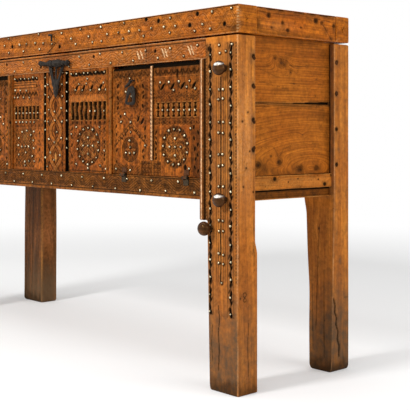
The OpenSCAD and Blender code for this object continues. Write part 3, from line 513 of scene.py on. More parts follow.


# Old softwood. Bands: a saw wave over the grain coordinate, bent by slow noise. Fibres and
# streaks: noise drawn out along the grain. Then mottling, knots, wear and painted highlights,
# specks, dirt, and the painted shade of cuts.
def woodMaterial(name, look):
    material, tree, shader = newMaterial(name)
    seed = look["seed"]
    uvMap = addNode(tree, "ShaderNodeUVMap", {"uv_map": "grain"}).outputs[0]
    place = addNode(tree, "ShaderNodeTexCoord").outputs["Object"]
    slow = noiseAt(tree, uvMap, (2.2, 26, 1), 3.0, 0.5, seed)
    strength = noiseAt(tree, uvMap, (3.5, 60, 1), 2.0, 0.5, seed + 9)
    fibre = noiseAt(tree, uvMap, (14, 430, 1), 4.0, 0.6, seed * 3)
    streak = noiseAt(tree, uvMap, (2.6, 55, 1), 4.0, 0.6, seed + 4)
    cloud = noiseAt(tree, place, (6, 6, 6), 4.0, 0.55, seed)
    patch = noiseAt(tree, place, (42, 42, 42), 5.0, 0.65, seed)
    small = noiseAt(tree, place, (95, 95, 95), 2.5, 0.6, seed + 2)
    grit = noiseAt(tree, place, (170, 170, 170), 3.0, 0.6, seed)
    shade, grime = readMark(tree, "shade"), readMark(tree, "grime")

    across = addNode(tree, "ShaderNodeSeparateXYZ", None, Vector=uvMap).outputs[1]
    bent = plus(tree, times(tree, across, look["bands"]), times(tree, slow, look["bend"]))
    band = maths(tree, "FRACT", bent)
    fall = maths(tree, "MINIMUM", maths(tree, "POWER", band, 2.4),
                 times(tree, maths(tree, "SUBTRACT", 1.0, band), 6.0))
    fall = times(tree, fall, grayRamp(tree, strength, (0.35, 0.25), (0.65, 1)))

    clouds = times(tree, grayRamp(tree, cloud, (0.34, 0), (0.66, 1)), look["cloud"])
    color = mixColor(tree, clouds, look["light"], look["warm"])
    for line, much in ((fall, look["contrast"]),
                       (grayRamp(tree, streak, (0.38, 1), (0.58, 0)), look["streak"]),
                       (grayRamp(tree, fibre, (0.36, 0.9), (0.56, 0)), look["fibre"])):
        color = mixColor(tree, times(tree, line, much), color, look["band"])
    mottle = grayRamp(tree, patch, (0.3, 0.70), (0.5, 1.0), (0.72, 1.16))
    color = mixColor(tree, look["mottle"], color, mottle, "MULTIPLY")
    grain = grayRamp(tree, small, (0.34, 0.42), (0.5, 1.0), (0.66, 1.5))
    color = mixColor(tree, look["grain"], color, grain, "MULTIPLY")
    color = mixColor(tree, readMark(tree, "knot"), color, look["knot"])
    # wear and painted highlights: real worn edges, and the painted highlights of knobs, beads and
    # gouges, lighten to the pale colour
    wornAndLit = times(tree, readMark(tree, "wear"), grayRamp(tree, grit, (0.35, 0.3), (0.6, 1)))
    color = mixColor(tree, times(tree, wornAndLit, look["wear"]), color, look["pale"])
    speck = times(tree, grayRamp(tree, grit, (0.30, 1), (0.37, 0)),
                  grayRamp(tree, patch, (0.42, 1), (0.56, 0)))
    color = mixColor(tree, times(tree, speck, look["speck"]), color, look["cut"])
    dirt = times(tree, grime, grayRamp(tree, patch, (0.25, 1), (0.75, 0.55)))
    color = mixColor(tree, dirt, color, look["dirt"])
    # painted shade: the shade mark of cuts darkens to the near-black cut colour
    color = mixColor(tree, shade, color, look["cut"])
    tree.links.new(color, shader.inputs["Base Color"])

    rough = plus(tree, times(tree, patch, 0.3), times(tree, plus(tree, shade, grime), 0.3))
    tree.links.new(plus(tree, rough, look["rough"]), shader.inputs["Roughness"])
    height = times(tree, fibre, 0.35)
    for layer, much in ((fall, -0.3), (patch, 0.6), (grit, 0.3)):
        height = plus(tree, height, times(tree, layer, much))
    bump = addNode(tree, "ShaderNodeBump", None, Strength=look["bump"], Distance=0.0014,
                   Height=height)
    tree.links.new(bump.outputs[0], shader.inputs["Normal"])
    shader.inputs["Specular IOR Level"].default_value = look["shine"]
    shader.inputs["Specular Tint"].default_value = (1.0, 0.55, 0.2, 1)
    return material


# cut is the near-black of painted shade in cuts, also used for specks; pale is the colour of wear and of
# painted highlights
woodLooks = {
    "band": (108, 52, 14), "knot": (46, 24, 8), "pale": (236, 168, 88), "dirt": (44, 27, 12),
    "cut": (10, 7, 4), "bands": 110, "bend": 2.6, "contrast": 0.7, "cloud": 0.75,
    "streak": 0.55, "fibre": 0.5, "mottle": 0.9, "wear": 0.6, "speck": 0.7, "rough": 0.22,
    "bump": 0.7, "shine": 0.07, "grain": 0.45,
}


# Finishes: seed, light and warm colour, then what differs from the looks above
def wood(name, seed, light, warm, **changes):
    look = {**woodLooks, **changes, "light": light, "warm": warm, "seed": seed}
    return woodMaterial(name, {key: rgb(*v) if isinstance(v, tuple) else v
                               for key, v in look.items()})


framePine = wood("framePine", 1.3, (206, 119, 32), (182, 90, 18), pale=(246, 200, 144), wear=0.8,
                 grain=0.4)
topPine = wood("topPine", 1.3, (196, 114, 34), (174, 86, 20), pale=(252, 212, 160), wear=0.9,
               grain=0.5)
endPine = wood("endPine", 4.1, (182, 106, 32), (166, 86, 20), knot=(98, 54, 22), band=(96, 46, 12),
               contrast=0.9, bands=140, streak=0.45, cloud=0.6, grain=0.25)
postPine = wood("postPine", 7.7, (200, 124, 46), (188, 106, 32), band=(130, 68, 22),
                dirt=(80, 65, 50), pale=(246, 196, 144), bands=80, contrast=0.55, streak=0.6,
                grain=0.3, speck=0.5)
# The left leg's pine: darker than the posts', partly its own tone, partly painted shade for where it
# stands under the chest
shadedLegPine = wood("shadedLegPine", 8.4, (150, 92, 50), (118, 66, 26), band=(60, 34, 12), dirt=(104, 82, 60),
               bands=70, contrast=0.8, streak=0.9)
panelPine = wood("panelPine", 2.9, (168, 91, 30), (130, 60, 16), band=(84, 40, 10), speck=0.9,
                 mottle=1.0, grain=1.0, wear=0.9)
doorPine = wood("doorPine", 5.3, (168, 93, 30), (130, 60, 16), band=(76, 36, 12), speck=1.0,
                mottle=1.0, grain=1.0, wear=0.9)
railPine = wood("railPine", 3.7, (160, 95, 36), (126, 68, 22), pale=(196, 140, 84),
                band=(66, 36, 12), speck=0.9, mottle=1.0, grain=0.8)
backPine = wood("backPine", 9.1, (166, 112, 60), (140, 88, 40), band=(98, 60, 28), rough=0.42,
                speck=0.4)
beadPine = wood("beadPine", 6.6, (140, 78, 28), (112, 56, 18), band=(70, 36, 12),
                pale=(246, 196, 146), rough=0.1, shine=0.3, wear=1.0, grain=0.8)
# knobWood's pale is near white: the colour of the knobs' painted highlight
knobWood = wood("knobWood", 6.1, (84, 50, 26), (56, 34, 18), band=(30, 18, 9), pale=(255, 250, 240),
                rough=0.0, bands=60, speck=0.3, bump=0.15, shine=0.22, wear=1.0)
pegWood = wood("pegWood", 3.1, (84, 46, 18), (60, 32, 12), band=(38, 20, 8), bands=160)
# Near black: painted shade for the door stop, seen only in the dark gap at the door
shadePaintedPine = wood("shadePaintedPine", 9.7, (26, 17, 10), (18, 12, 8), band=(12, 8, 5))


# Metal: a base colour that wanders with noise, pits in the bump
def metalMaterial(name, dark, light, **look):
    material, tree, shader = newMaterial(name)
    place = addNode(tree, "ShaderNodeTexCoord").outputs["Object"]
    cloud = addNode(tree, "ShaderNodeTexNoise", None, Vector=place, Scale=look["scale"],
                    Detail=5.0, Roughness=0.6).outputs["Fac"]
    color = ramp(tree, cloud, [(0.3, rgb(*dark)), (0.7, rgb(*light))])
    tree.links.new(color, shader.inputs["Base Color"])
    rough = plus(tree, times(tree, cloud, 0.3), look["rough"])
    tree.links.new(rough, shader.inputs["Roughness"])
    bump = addNode(tree, "ShaderNodeBump", None, Strength=look["bump"], Distance=0.001,
                   Height=cloud)
    tree.links.new(bump.outputs[0], shader.inputs["Normal"])
    shader.inputs["Metallic"].default_value = look["metal"]
    shader.inputs["Specular IOR Level"].default_value = look["shine"]
    return material


ironMetal = metalMaterial("ironMetal", (9, 8, 7), (50, 42, 34),
                          scale=110, rough=0.3, bump=1.0, metal=0.0, shine=0.1)
studMetal = metalMaterial("studMetal", (120, 104, 68), (255, 240, 200),
                          scale=60, rough=0.2, bump=0.4, metal=0.6, shine=0.5)
oliveMetal = metalMaterial("oliveMetal", (28, 22, 14), (74, 58, 36),
                           scale=120, rough=0.4, bump=0.8, metal=0.2, shine=0.15)
rustMetal = metalMaterial("rustMetal", (44, 26, 13), (100, 58, 26),
                          scale=120, rough=0.4, bump=0.8, metal=0.0, shine=0.1)
print("materials made")

studHead = {"radius": 2.9, "height": 2.4, "steps": 10, "rings": 4}


# Studs: each head is a low dome, height h cos(t) at radius r sin(t), in rows of rings
def domes(name, places, seed):
    v = studHead
    n, m = v["steps"], v["rings"]
    rng = np.random.default_rng(seed)
    places = np.asarray(places, float)
    t = np.linspace(0.18, 1, m) * math.pi / 2
    turn = np.arange(n) * math.tau / n
    unit = np.stack([
        np.outer(np.sin(t), np.cos(turn)), -np.repeat(np.cos(t)[:, None], n, 1),
        np.outer(np.sin(t), np.sin(turn))], -1).reshape(-1, 3)
    size = v["radius"] * (0.8 + 0.4 * rng.random(len(places)))
    verts = unit[None] * np.stack([size, np.full(len(size), v["height"]), size], -1)[:, None]
    tilt = (rng.random((len(places), 2)) - 0.5) * 0.5
    verts[..., 1] += verts[..., 0] * tilt[:, None, 0] + verts[..., 2] * tilt[:, None, 1]
    verts[:, -n:, 1] += 1.2  # the rim sinks into the wood
    verts += places[:, None]
    starts = np.arange(len(places)) * m * n
    quads = (ringFaces(m, n)[None] + starts[:, None, None]).reshape(-1, 4)
    tops = [list(start + np.arange(n)[::-1]) for start in starts]
    rims = [list(start + (m - 1) * n + np.arange(n)) for start in starts]
    return addMesh(name, verts, quads, tops + rims)


def jitter(rng, amount):
    return (rng.random() - 0.5) * 2 * amount


# A ring of n studs and a cross of five, a little out of true
def rosetteRing(cx, cz, r, n, cross, seed):
    rng = np.random.default_rng(seed)
    out = [(cx + (r + jitter(rng, 2)) * math.cos(k * math.tau / n + 0.2),
            cz + (r + jitter(rng, 2)) * math.sin(k * math.tau / n + 0.2)) for k in range(n)]
    return out + [(cx + dx * cross, cz + dz * cross)
                  for dx, dz in ((0, 0), (1, 0), (-1, 0), (0, 1), (0, -1))]


# A carved rosette: a dirty sunk disc with leaves standing in it, a notched band at the studs,
# two rims, and painted highlights on its leaves
def rosetteCuts(work, x, z, cx, cz, r, petals=8):
    away = np.hypot(x - cx, z - cz)
    disc = smooth((r + 6 - away) / 3)
    work.ground(disc, 1.6, 0.3)
    band = smooth((r + 8 - away) / 3) * smooth((away - r + 12) / 4)
    turn = np.arctan2(z - cz, x - cx)
    work.ground(band, 2.6, 0.55)
    # painted highlights: pale flecks over the disc
    work.polishAndHighlight(leafage(x + 5, z + 3, 13, 10) * disc, 0.38)
    work.cut(band * smooth(0.5 + np.cos(turn * petals * 3 + 3 * np.sin(away / 4))), 3.0, 0.75)
    inner = smooth((r - 12 - away) / 3)
    leaf = np.cos(turn * petals + 0.8 * np.sin(away / 5.0)) * np.sin(away * math.pi / (0.42 * r))
    work.cut(inner * smooth(leaf * 1.6 - 0.2), 2.8, 0.6)
    work.cut(inner * leafage(x, z, 12.0, 9.0), 2.6, 0.55)
    # painted highlights on what stands between the leaf cuts
    work.polishAndHighlight(inner * smooth(-leaf * 2 - 0.5), 0.35)
    work.cut(groove(np.abs(away - r - 8), 3.0), 1.2, 0.4)


# Dirty bands (low, high, dirt) across a board
def dirtyBands(work, z, bands):
    for low, high, dirt in bands:
        work.ground(between(z, low, high, 4), 0.7, dirt)


# The deep channel beside the muntin: its black is painted shade, a little wider than its depth
def channelCut(work, x, z, middle, more):
    work.cut(slot(x, z, middle, 745, 30, 330, 0, 1.2), 9, 1.0)
    work.cut(slot(x, z, middle, 745, 30 + more, 330 + more, 0, 1.2), 0, 1.0)


# Spindles between slots. A slot has parts (rise, width, height, waist, depth, shade) and
# a nick (to the side, level, width, height, depth, shade) under it.
def spindleRow(work, x, z, v):
    first, pitch, n, level = v["slots"]
    aside, nickLevel, wide, high, deep, dark = v["nick"]
    for at in row(first, pitch, n):
        for rise, w, h, waist, depth, shade in v["slotParts"]:
            work.cut(slot(x, z, at, level + rise, w, h, waist, 1.4), depth, shade)
        work.ground(groove(np.abs(x - at - pitch / 2), 12) * (np.abs(z - level) < 26), 0,
                       v["spindleDirt"])
        work.cut(lens(x, z, at + aside, nickLevel, wide, high), deep, dark)


# The middle right panel: notches, slashed teeth, eight long slots, a rosette.
# Rows are (first, pitch, count, level), the rosette (x, z, radius), the channel (x, extra width of its
# painted shade).
panelRight = {
    "notches": (84, 20.5, 10, 896), "slots": (87, 24.9, 8, 776), "slotSize": (15.0, 58),
    "rosette": (172, 665, 58), "channel": (50, 3), "slashes": (103, 142, 186, 234, 266),
    "bands": [(884, 908, 0.5), (826, 846, 0.5), (727, 748, 0.55), (580, 600, 0.30)],
    "lines": (70, 94, 248, 271), "footLine": 584,
    "studs": [
        (79, 898), (108, 897), (150, 898), (172, 897), (215, 898), (260, 897), (169, 879),
        (164, 864), (122, 864), (255, 863), (103, 845), (142, 843), (186, 842), (234, 842),
        (268, 841), (183, 775), (210, 775), (258, 775), (108, 725), (234, 724), (108, 605),
        (238, 603), (172, 593), (80, 702), (260, 650), (268, 593),
    ],
    "columns": [
        (83, 718, 9, 15, 24), (83, 690, 8, 14, -24), (83, 666, 9, 16, 24), (83, 630, 9, 17, -24),
        (83, 608, 8, 13, 20), (260, 718, 8, 14, -24), (260, 677, 9, 16, 24), (261, 661, 8, 12, -24),
        (260, 636, 9, 14, 24), (260, 622, 8, 13, -20),
    ],
}
panelRight["studs"] += rosetteRing(*panelRight["rosette"], 14, 26, 3)


def panelRightFace(work, x, z):
    v = panelRight
    dirtyBands(work, z, v["bands"])
    work.polishAndHighlight(between(z, 806, 827, 6, 7), 0.1)
    first, pitch, n, level = v["notches"]
    for at in row(first, pitch, n):
        work.cut(lens(x, z, at - 1, level - 1, 15, 24, -64), 4.5, 1.0)
        work.cut(lens(x, z, at + 9, level - 4, 13, 10), 3, 0.9)
    work.cut(leafage(x, z, 15, 11) * between(z, 856, 884, 4), 1.4, 0.35)
    for px in v["slashes"]:
        work.cut(lens(x, z, px + 6, 851, 15, 27, 46), 6, 1.0)
        work.cut(lens(x, z, px - 9, 848, 9, 20, -38), 2.4, 0.6)
    work.cut(leafage(x, z, 13, 9) * between(z, 826, 846, 3), 2.2, 0.6)
    first, pitch, n, level = v["slots"]
    for k, at in enumerate(row(first, pitch, n)):
        bent = x + 1.8 * np.sin((z - level) / 8 + k)
        work.cut(slot(bent, z, at, level, *v["slotSize"], 0.12, 1.2), 8.5, 1.0)
        work.cut(slot(bent, z, at, level, 19, 61, 0.12, 2.5), 1.5, 0.75)
        work.cut(slot(x, z, at, level + 22, 19, 11, 0, 2.0), 7, 1.0)
        work.cut(slot(x, z, at, level - 21, 18, 11, 0, 2.0), 7, 1.0)
        work.cut(lens(x, z, at, 738, 14, 11), 2.4, 0.85)
        work.ground(groove(np.abs(x - at - pitch / 2), 12) * (np.abs(z - level) < 30), 0, 0.6)
    work.chips(x, z, v["columns"], 3.4, 0.95)
    work.lines(x, v["lines"], 3.0, 1.3, 0.45, (z < 726) * (z > 588))
    outside = np.abs(x - v["rosette"][0]) > 60
    work.cut(leafage(x, z, 16, 13) * (z < 726) * outside, 1.2, 0.35)
    work.lines(z, [v["footLine"]], 3.4, 2.0, 0.8)
    rosetteCuts(work, x, z, *v["rosette"])
    studShadowRims(work, x, z, v["studs"])
    channelCut(work, x, z, *v["channel"])


# The middle left panel: notches, ribs, zigzag, seven waisted slots, a square of lattice
panelLeft = {
    "notches": (-262, 25.6, 6, 895), "slots": (-262, 23.4, 7, 775), "square": (-204, 653, 64),
    "slotParts": [(13, 18, 22, 0.15, 6.5, 1.0), (-13, 17, 20, 0.15, 6.0, 1.0),
                  (0, 8, 46, 0, 4.0, 0.95)],
    "spindleDirt": 0.75, "nick": (9, 731, 12, 10, 2.2, 0.6), "zigzag": (-274, 19.5, 8, 841),
    "bands": [(884, 908, 0.4), (820, 856, 0.35), (722, 752, 0.5)],
    "ribs": (881, 872, 862), "sideLines": (-99, -125, -275), "channel": (-67, 4),
    "studs": [
        (-270, 896), (-230, 895), (-204, 894), (-178, 893), (-152, 897), (-127, 894), (-266, 856),
        (-233, 855), (-194, 853), (-270, 831), (-250, 831), (-212, 830), (-175, 828), (-262, 775),
        (-238, 775), (-215, 775), (-192, 775), (-169, 775), (-146, 775), (-122, 775), (-260, 744),
        (-236, 744), (-217, 744), (-194, 744), (-168, 744), (-145, 743), (-220, 709), (-191, 714),
        (-146, 711), (-165, 699), (-243, 688), (-149, 680), (-246, 663), (-223, 658), (-200, 659),
        (-179, 659), (-146, 654), (-198, 638), (-243, 630), (-155, 626), (-204, 606), (-178, 609),
        (-143, 609), (-202, 594),
    ],
    "columns": [
        (-112, 706, 8, 14, 20), (-113, 677, 8, 15, -20), (-112, 648, 9, 16, 20),
        (-113, 614, 10, 20, -15), (-128, 867, 13, 15, 0), (-262, 700, 7, 13, 15),
        (-262, 648, 7, 14, -15), (-262, 612, 7, 12, 15),
    ],
}


def panelLeftFace(work, x, z):
    v = panelLeft
    dirtyBands(work, z, v["bands"])
    first, pitch, n, level = v["notches"]
    for k in range(n + 1):
        at = first + k * pitch * 0.82
        work.cut(lens(x, z, at + 2, level - 3, 14, 25, -60), 4.5, 1.0)
        work.cut(lens(x, z, at + 13, level - 6, 12, 10), 2.5, 0.8)
    work.lines(z, v["ribs"], 3.6, 1.8, 0.7, x < -132)
    for rib in v["ribs"]:
        work.polishAndHighlight(groove(np.abs(z - rib + 4.5), 4) * (x < -132), 0.15)
    first, pitch, n, level = v["zigzag"]
    for at in row(first, pitch, n):
        work.cut(lens(x, z, at, level, 9, 22, 34), 3.2, 0.9)
        work.cut(lens(x, z, at + 9, level, 9, 22, -34), 3.2, 0.8)
    work.cut(leafage(x, z, 14, 9) * between(z, 798, 822, 4), 1.6, 0.4)
    spindleRow(work, x, z, v)
    work.lines(z, [721], 2.6, 1.2, 0.45, x < -96)
    work.chips(x, z, v["columns"], 3.6, 0.95)
    cx, cz, half = v["square"]
    inside = smooth((half - np.abs(x - cx)) / 4) * smooth((half + 4 - np.abs(z - cz)) / 4)
    work.ground(inside, 1.6, 0.35)
    for lean in (1, -1):
        weave = np.abs(((x - cx) + lean * (z - cz) + 2 * np.sin(z / 9)) / math.sqrt(2) % 15 - 7.5)
        work.cut(groove(weave, 6) * inside, 2.2, 0.5)
    work.cut(leafage(x, z, 13, 10) * inside, 3.0, 0.6)
    work.polishAndHighlight(inside * leafage(x + 6, z, 13, 10), 0.3)
    work.polishAndHighlight(blot(x, z, cx, 690, 14, 16), 0.5)
    work.lines(x, v["sideLines"], 2.2, 1.2, 0.4, z < 718)
    studShadowRims(work, x, z, v["studs"])
    channelCut(work, x, z, *v["channel"])


# The inner board of the drop door: chip columns, a gable of lines over an oval rosette.
# The gable is (middle, top, slope), the oval (x, z, radius), the scallops (first, pitch, count).
doorInner = {
    "oval": (392, 655, 33), "gable": (397, 736, 0.72), "scallops": (322, 19, 9),
    "sideLines": (317, 342, 442, 468),
    "studs": [
        (366, 763), (347, 739), (394, 738), (394, 708), (464, 668), (322, 595), (392, 593),
        (390, 870), (371, 830), (398, 816), (389, 682), (391, 662), (371, 645), (389, 644),
        (411, 645),
    ],
    "columns": [
        (330, 849, 13, 19, 30), (331, 828, 9, 12, -30), (330, 812, 12, 17, -30),
        (331, 795, 9, 11, 30), (330, 782, 12, 16, 30), (452, 845, 13, 18, -30),
        (453, 826, 9, 12, 30), (454, 812, 12, 17, 30), (452, 785, 12, 17, -30),
        (431, 747, 13, 22, 35), (450, 740, 15, 27, 38), (344, 755, 12, 16, -35),
        (322, 725, 9, 16, 20), (324, 700, 9, 15, -20), (325, 652, 10, 17, 20), (325, 616, 9, 15, -20),
        (463, 718, 9, 16, 20), (463, 694, 9, 14, -20), (453, 652, 10, 16, 20), (455, 633, 9, 13, -20),
        (421, 711, 8, 13, 40), (438, 694, 8, 12, 40), (369, 700, 8, 12, -40), (352, 688, 8, 12, -40),
    ],
}


# Two lines to a gable, and chips under them
def gableCuts(work, x, z):
    middle, top, steep = doorInner["gable"]
    for drop, w, much in ((0, 3.0, 0.55), (13, 3.4, 0.75)):
        slope = np.abs(np.abs(x - middle) * steep + z - top + drop) / 1.23
        work.cut(groove(slope, w) * (np.abs(x - middle) < 78) * (z > 640), 1.8, much)
    for k in range(6):
        for way in (-1, 1):
            place = middle + way * (8 + 11 * k)
            work.cut(lens(x, z, place, top - 14 - 8 * k, 6, 11, way * 40), 2.4, 0.8)


# The block of crossed cuts at the foot, across the joint of the two boards
def crossedBlock(work, x, z):
    block = between(x, 444, 538, 2) * smooth((622 - z) / 2) * (z > 580)
    work.ground(block, 0.8, 0.5)
    for at in row(450, 14, 7):
        work.cut(groove(np.abs(x - at - 1.5 * np.sin(z / 4)), 4.0) * block, 2.4, 0.55)
    work.lines(z, row(588, 13, 3), 3.6, 2.4, 0.5, block)
    work.cut(leafage(x, z, 13, 10) * block, 2.0, 0.6)


def doorInnerFace(work, x, z):
    v = doorInner
    work.ground(smooth((z - 868) / 6), 0.6, 0.75)
    work.ground(between(z, 760, 880, 20, 10), 0.4, 0.35)
    work.ground(smooth((612 - z) / 8), 0.4, 0.55)
    work.cut(leafage(x, z, 21, 13) * smooth((z - 850) / 12), 1.8, 0.5)
    work.cut(leafage(x, z, 27, 17) * smooth((860 - z) / 12) * (z > 735), 1.2, 0.35)
    for at in row(*v["scallops"]):
        work.cut(ring(x, z, at, 884, 8, 4) * (z < 886), 2.4, 0.6)
    # painted shadow: black along the top, under the rail
    work.cut(smooth((z - 894) / 3), 3.0, 1.0)
    for k in range(6):  # a carved fan behind the pull
        off = k - 2.5
        work.cut(lens(x, z, 365 + 11 * k, 800 + 9 * abs(off), 5, 26, off * 14), 2.0, 0.55)
        work.cut(lens(x, z, 360 + 13 * k, 872 - 3 * abs(off), 6, 14, off * -12), 2.0, 0.6)
    work.chips(x, z, v["columns"], 3.6, 0.95)
    gableCuts(work, x, z)
    work.lines(x, v["sideLines"], 2.2, 1.2, 0.5, (z < 866) * (z > 620))
    cx, cz, r = v["oval"]
    away = np.hypot((x - cx) / 1.05, z - cz)
    work.ground(smooth((r + 3 - away) / 2), 2.2, 0.8)
    work.cut(leafage(x, z, 11, 9) * smooth((r - away) / 3), 2.6, 0.5)
    for turn in row(30, 60, 6):  # six petals left standing
        outX, outZ = 15 * math.sin(math.radians(turn)), 15 * math.cos(math.radians(turn))
        work.lift(smooth(3 * lens(x, z, cx + outX, cz + outZ, 9, 22, turn)) * 0.7)
    work.cut(groove(np.abs(away - r - 4), 3), 2.0, 0.85)
    crossedBlock(work, x, z)
    work.cut(leafage(x, z, 12, 9) * smooth((610 - z) / 5) * (x < 440), 2.2, 0.6)
    work.lift(blot(x, z, 420, 597, 14, 15))
    studShadowRims(work, x, z, v["studs"])


# The outer board of the door: hanging scallops, slashes, eight waisted slots, a rosette
doorOuter = {
    "slots": (523, 23.3, 8, 772), "rosette": (600, 665, 53), "scallops": (522, 24.5, 8),
    "slotParts": [(12, 17, 18, 0.45, 7.5, 1.0), (-12, 16, 18, 0.45, 7.5, 1.0),
                  (0, 8, 38, 0, 6.0, 1.0)],
    "spindleDirt": 0.4, "nick": (6, 735, 12, 8, 2.0, 0.7), "slashes": (544, 588, 632, 680),
    "lines": (866, 810, 792, 746), "sideLines": (524, 671, 704),
    "studs": [
        (534, 852), (573, 852), (617, 852), (663, 852), (594, 828), (650, 835), (686, 830),
        (544, 772), (567, 771), (591, 771), (615, 770), (639, 770), (662, 770), (686, 769),
        (667, 718), (661, 604),
    ],
    "columns": [
        (514, 706, 10, 16, 25), (514, 690, 8, 12, -25), (514, 675, 10, 16, -25),
        (513, 658, 10, 14, 25), (514, 642, 9, 13, -25), (514, 630, 10, 13, 25),
        (680, 721, 10, 15, 20), (698, 706, 9, 15, -20), (681, 690, 9, 15, -20), (697, 672, 9, 15, 20),
        (684, 660, 10, 16, 20), (696, 643, 9, 13, -20), (688, 632, 9, 14, 20), (684, 608, 9, 15, -20),
        (698, 598, 9, 14, 20), (644, 606, 19, 20, 0),
    ],
}
doorOuter["studs"] += rosetteRing(*doorOuter["rosette"], 13, 24.5, 5)


def doorOuterFace(work, x, z):
    v = doorOuter
    work.ground(smooth((z - 868) / 5), 0.6, 0.72)
    work.ground(between(z, 792, 868, 4), 0.6, 0.4)
    work.ground(between(z, 728, 752, 3), 0.6, 0.5)
    work.ground(smooth((x - 670) / 3) * (z < 728), 0.7, 0.62)
    work.ground(smooth((726 - z) / 3) * smooth((528 - x) / 4), 0.5, 0.4)
    for at in row(*v["scallops"]):
        work.cut(ring(x, z, at, 886, 9, 7) * smooth((889 - z) / 3), 2.6, 0.7)
        work.cut(lens(x, z, at + 12, 875, 9, 14), 2.0, 0.6)
    work.cut(lens(x, z, 609, 873, 12, 30), 4.0, 0.9)
    # painted shadow: black along the top, under the rail
    work.cut(smooth((z - 894) / 3), 3.0, 1.0)
    for px in v["slashes"]:
        work.cut(lens(x, z, px, 839, 13, 31, 44), 6, 1.0)
        work.cut(lens(x, z, px - 15, 838, 9, 22, -38), 2.4, 0.55)
        work.cut(lens(x, z, px + 14, 846, 7, 18, 12), 2.0, 0.5)
    work.cut(leafage(x, z, 17, 9) * between(z, 796, 824, 3, 4), 2.0, 0.55)
    work.cut(leafage(x, z, 15, 9) * between(z, 726, 750, 3), 2.0, 0.5)
    spindleRow(work, x, z, v)
    work.lines(z, v["lines"], 2.6, 1.2, 0.4)
    work.chips(x, z, v["columns"], 3.6, 0.98)
    work.lines(x, v["sideLines"], 2.4, 1.4, 0.65, z < 727)
    crossedBlock(work, x, z)
    rosetteCuts(work, x, z, *v["rosette"])
    studShadowRims(work, x, z, v["studs"])


# The middle muntin: two bands cross at every bay, x = w sin(pi z / bay), a leaf in each loop
muntin = {
    "middle": -10.0, "wave": 31.0, "bay": 83.0, "cross": 588.0, "loops": 4,
    "studs": [
        (-14, 777), (-12, 748), (-14, 674), (-17, 615), (-48, 784), (26, 788), (-54, 744), (29, 743),
        (-48, 685), (26, 689), (-39, 640), (18, 632), (0, 709), (-57, 593), (33, 905), (30, 866),
        (-54, 868), (-50, 826), (32, 828),
    ],
    # studs that stand on bridges in the two channels
    "bridges": [
        (-71, 893), (-71, 864), (-71, 835), (-71, 803), (-71, 773), (-71, 745), (-71, 717),
        (-71, 623), (56, 902), (56, 871), (56, 841), (56, 809), (56, 778), (56, 747), (56, 686),
        (56, 657),
    ],
}


def muntinFace(work, x, z):
    v = muntin
    u = x - v["middle"]
    phase = math.pi * (z - v["cross"]) / v["bay"]
    slope = np.hypot(1, v["wave"] * math.pi / v["bay"] * np.cos(phase))
    fromBand = [np.abs(u - way * v["wave"] * np.sin(phase)) / slope for way in (1, -1)]
    work.ground(1 + 0 * x, 1.6, 0.3)
    work.cut(leafage(x, z, 15, 12), 2.4, 0.35)
    bands = np.maximum(*(smooth((7.5 - off) / 3) for off in fromBand))
    work.lift(bands)
    work.shade *= 1 - 0.8 * bands
    work.polishAndHighlight(bands, 0.16)
    for off in fromBand:
        work.cut(groove(off, 2.4), 1.0, 0.35)
        work.cut(groove(np.abs(off - 10), 3.6) * (1 - 0.6 * bands), 2.8, 0.75)
    for k, low in enumerate(row(v["cross"], v["bay"], v["loops"])):
        middle = low + v["bay"] / 2
        work.cut(lens(u, z, 0, middle, 24, 40), 3.2, 0.75)
        leaf = smooth(2.5 * lens(u, z, 2, middle - 4, 17, 34))
        work.lift(leaf * (1.0 if k == 0 else 0.35))
        if k == 0:  # the lowest leaf is worn bright
            work.shade *= 1 - 0.9 * leaf
            work.polishAndHighlight(leaf, 0.55)
    for side in (-1, 1):
        for level in row(v["cross"], v["bay"], v["loops"] + 1):
            work.cut(lens(u, z, side * 40, level - 13, 12, 28, side * 14), 3.0, 0.9)
            work.cut(lens(u, z, side * 40, level + 15, 11, 24, -side * 14), 2.6, 0.8)
    studShadowRims(work, x, z, v["studs"])


lidPith = (930, 40, 0.06)  # height, depth and slope of the pith line that the lid's ends share

# The lid's front beam: eyes between two crossing waves, studs in three rows, some lost
lidFront = {
    "pitch": 53.2, "middle": 1012.0, "wave": 23.0, "first": -142.0, "edges": (979, 1046),
    "studs": [
        (-334, 1019), (-233, 1015), (-189, 1015), (-133, 1014), (-82, 1010), (-29, 1004), (83, 1013),
        (180, 1013), (279, 1013), (335, 1013), (389, 1013), (439, 1012), (495, 1014), (553, 1013),
        (604, 1011), (719, 1006), (-307, 1041), (-111, 1043), (364, 1040), (581, 1036), (758, 1037),
        (834, 1040), (-305, 991), (-208, 991), (-105, 991), (108, 994), (201, 993), (249, 993),
        (359, 993), (459, 993), (579, 994), (687, 990), (750, 991), (28, 1036), (135, 1040),
        (246, 1038), (-392, 1014), (-446, 1012), (-500, 1014), (-553, 1012), (-607, 1013),
        (-660, 1013), (-714, 1012), (-767, 1013), (-420, 1040), (-530, 1039), (-640, 1040),
        (-750, 1040), (-400, 992), (-505, 992), (-612, 993), (-720, 992),
    ],
    "holes": [(-283, 1012), (665, 1008), (470, 1042), (527, 1032), (697, 1037), (14, 992), (806, 1000)],
    "stains": [(806, 1010, 30, 34, 0.5), (-20, 1010, 40, 22, 0.4), (846, 984, 24, 20, 0.95),
               (60, 1000, 30, 24, 0.3), (-200, 1010, 60, 30, 0.25)],
    # below the staple a chip is broken out of the edge
    "cracks": [(3.6, 3.0, 1.0, [(-58, 974), (-36, 986), (-14, 1001), (-10, 1006)])],
}


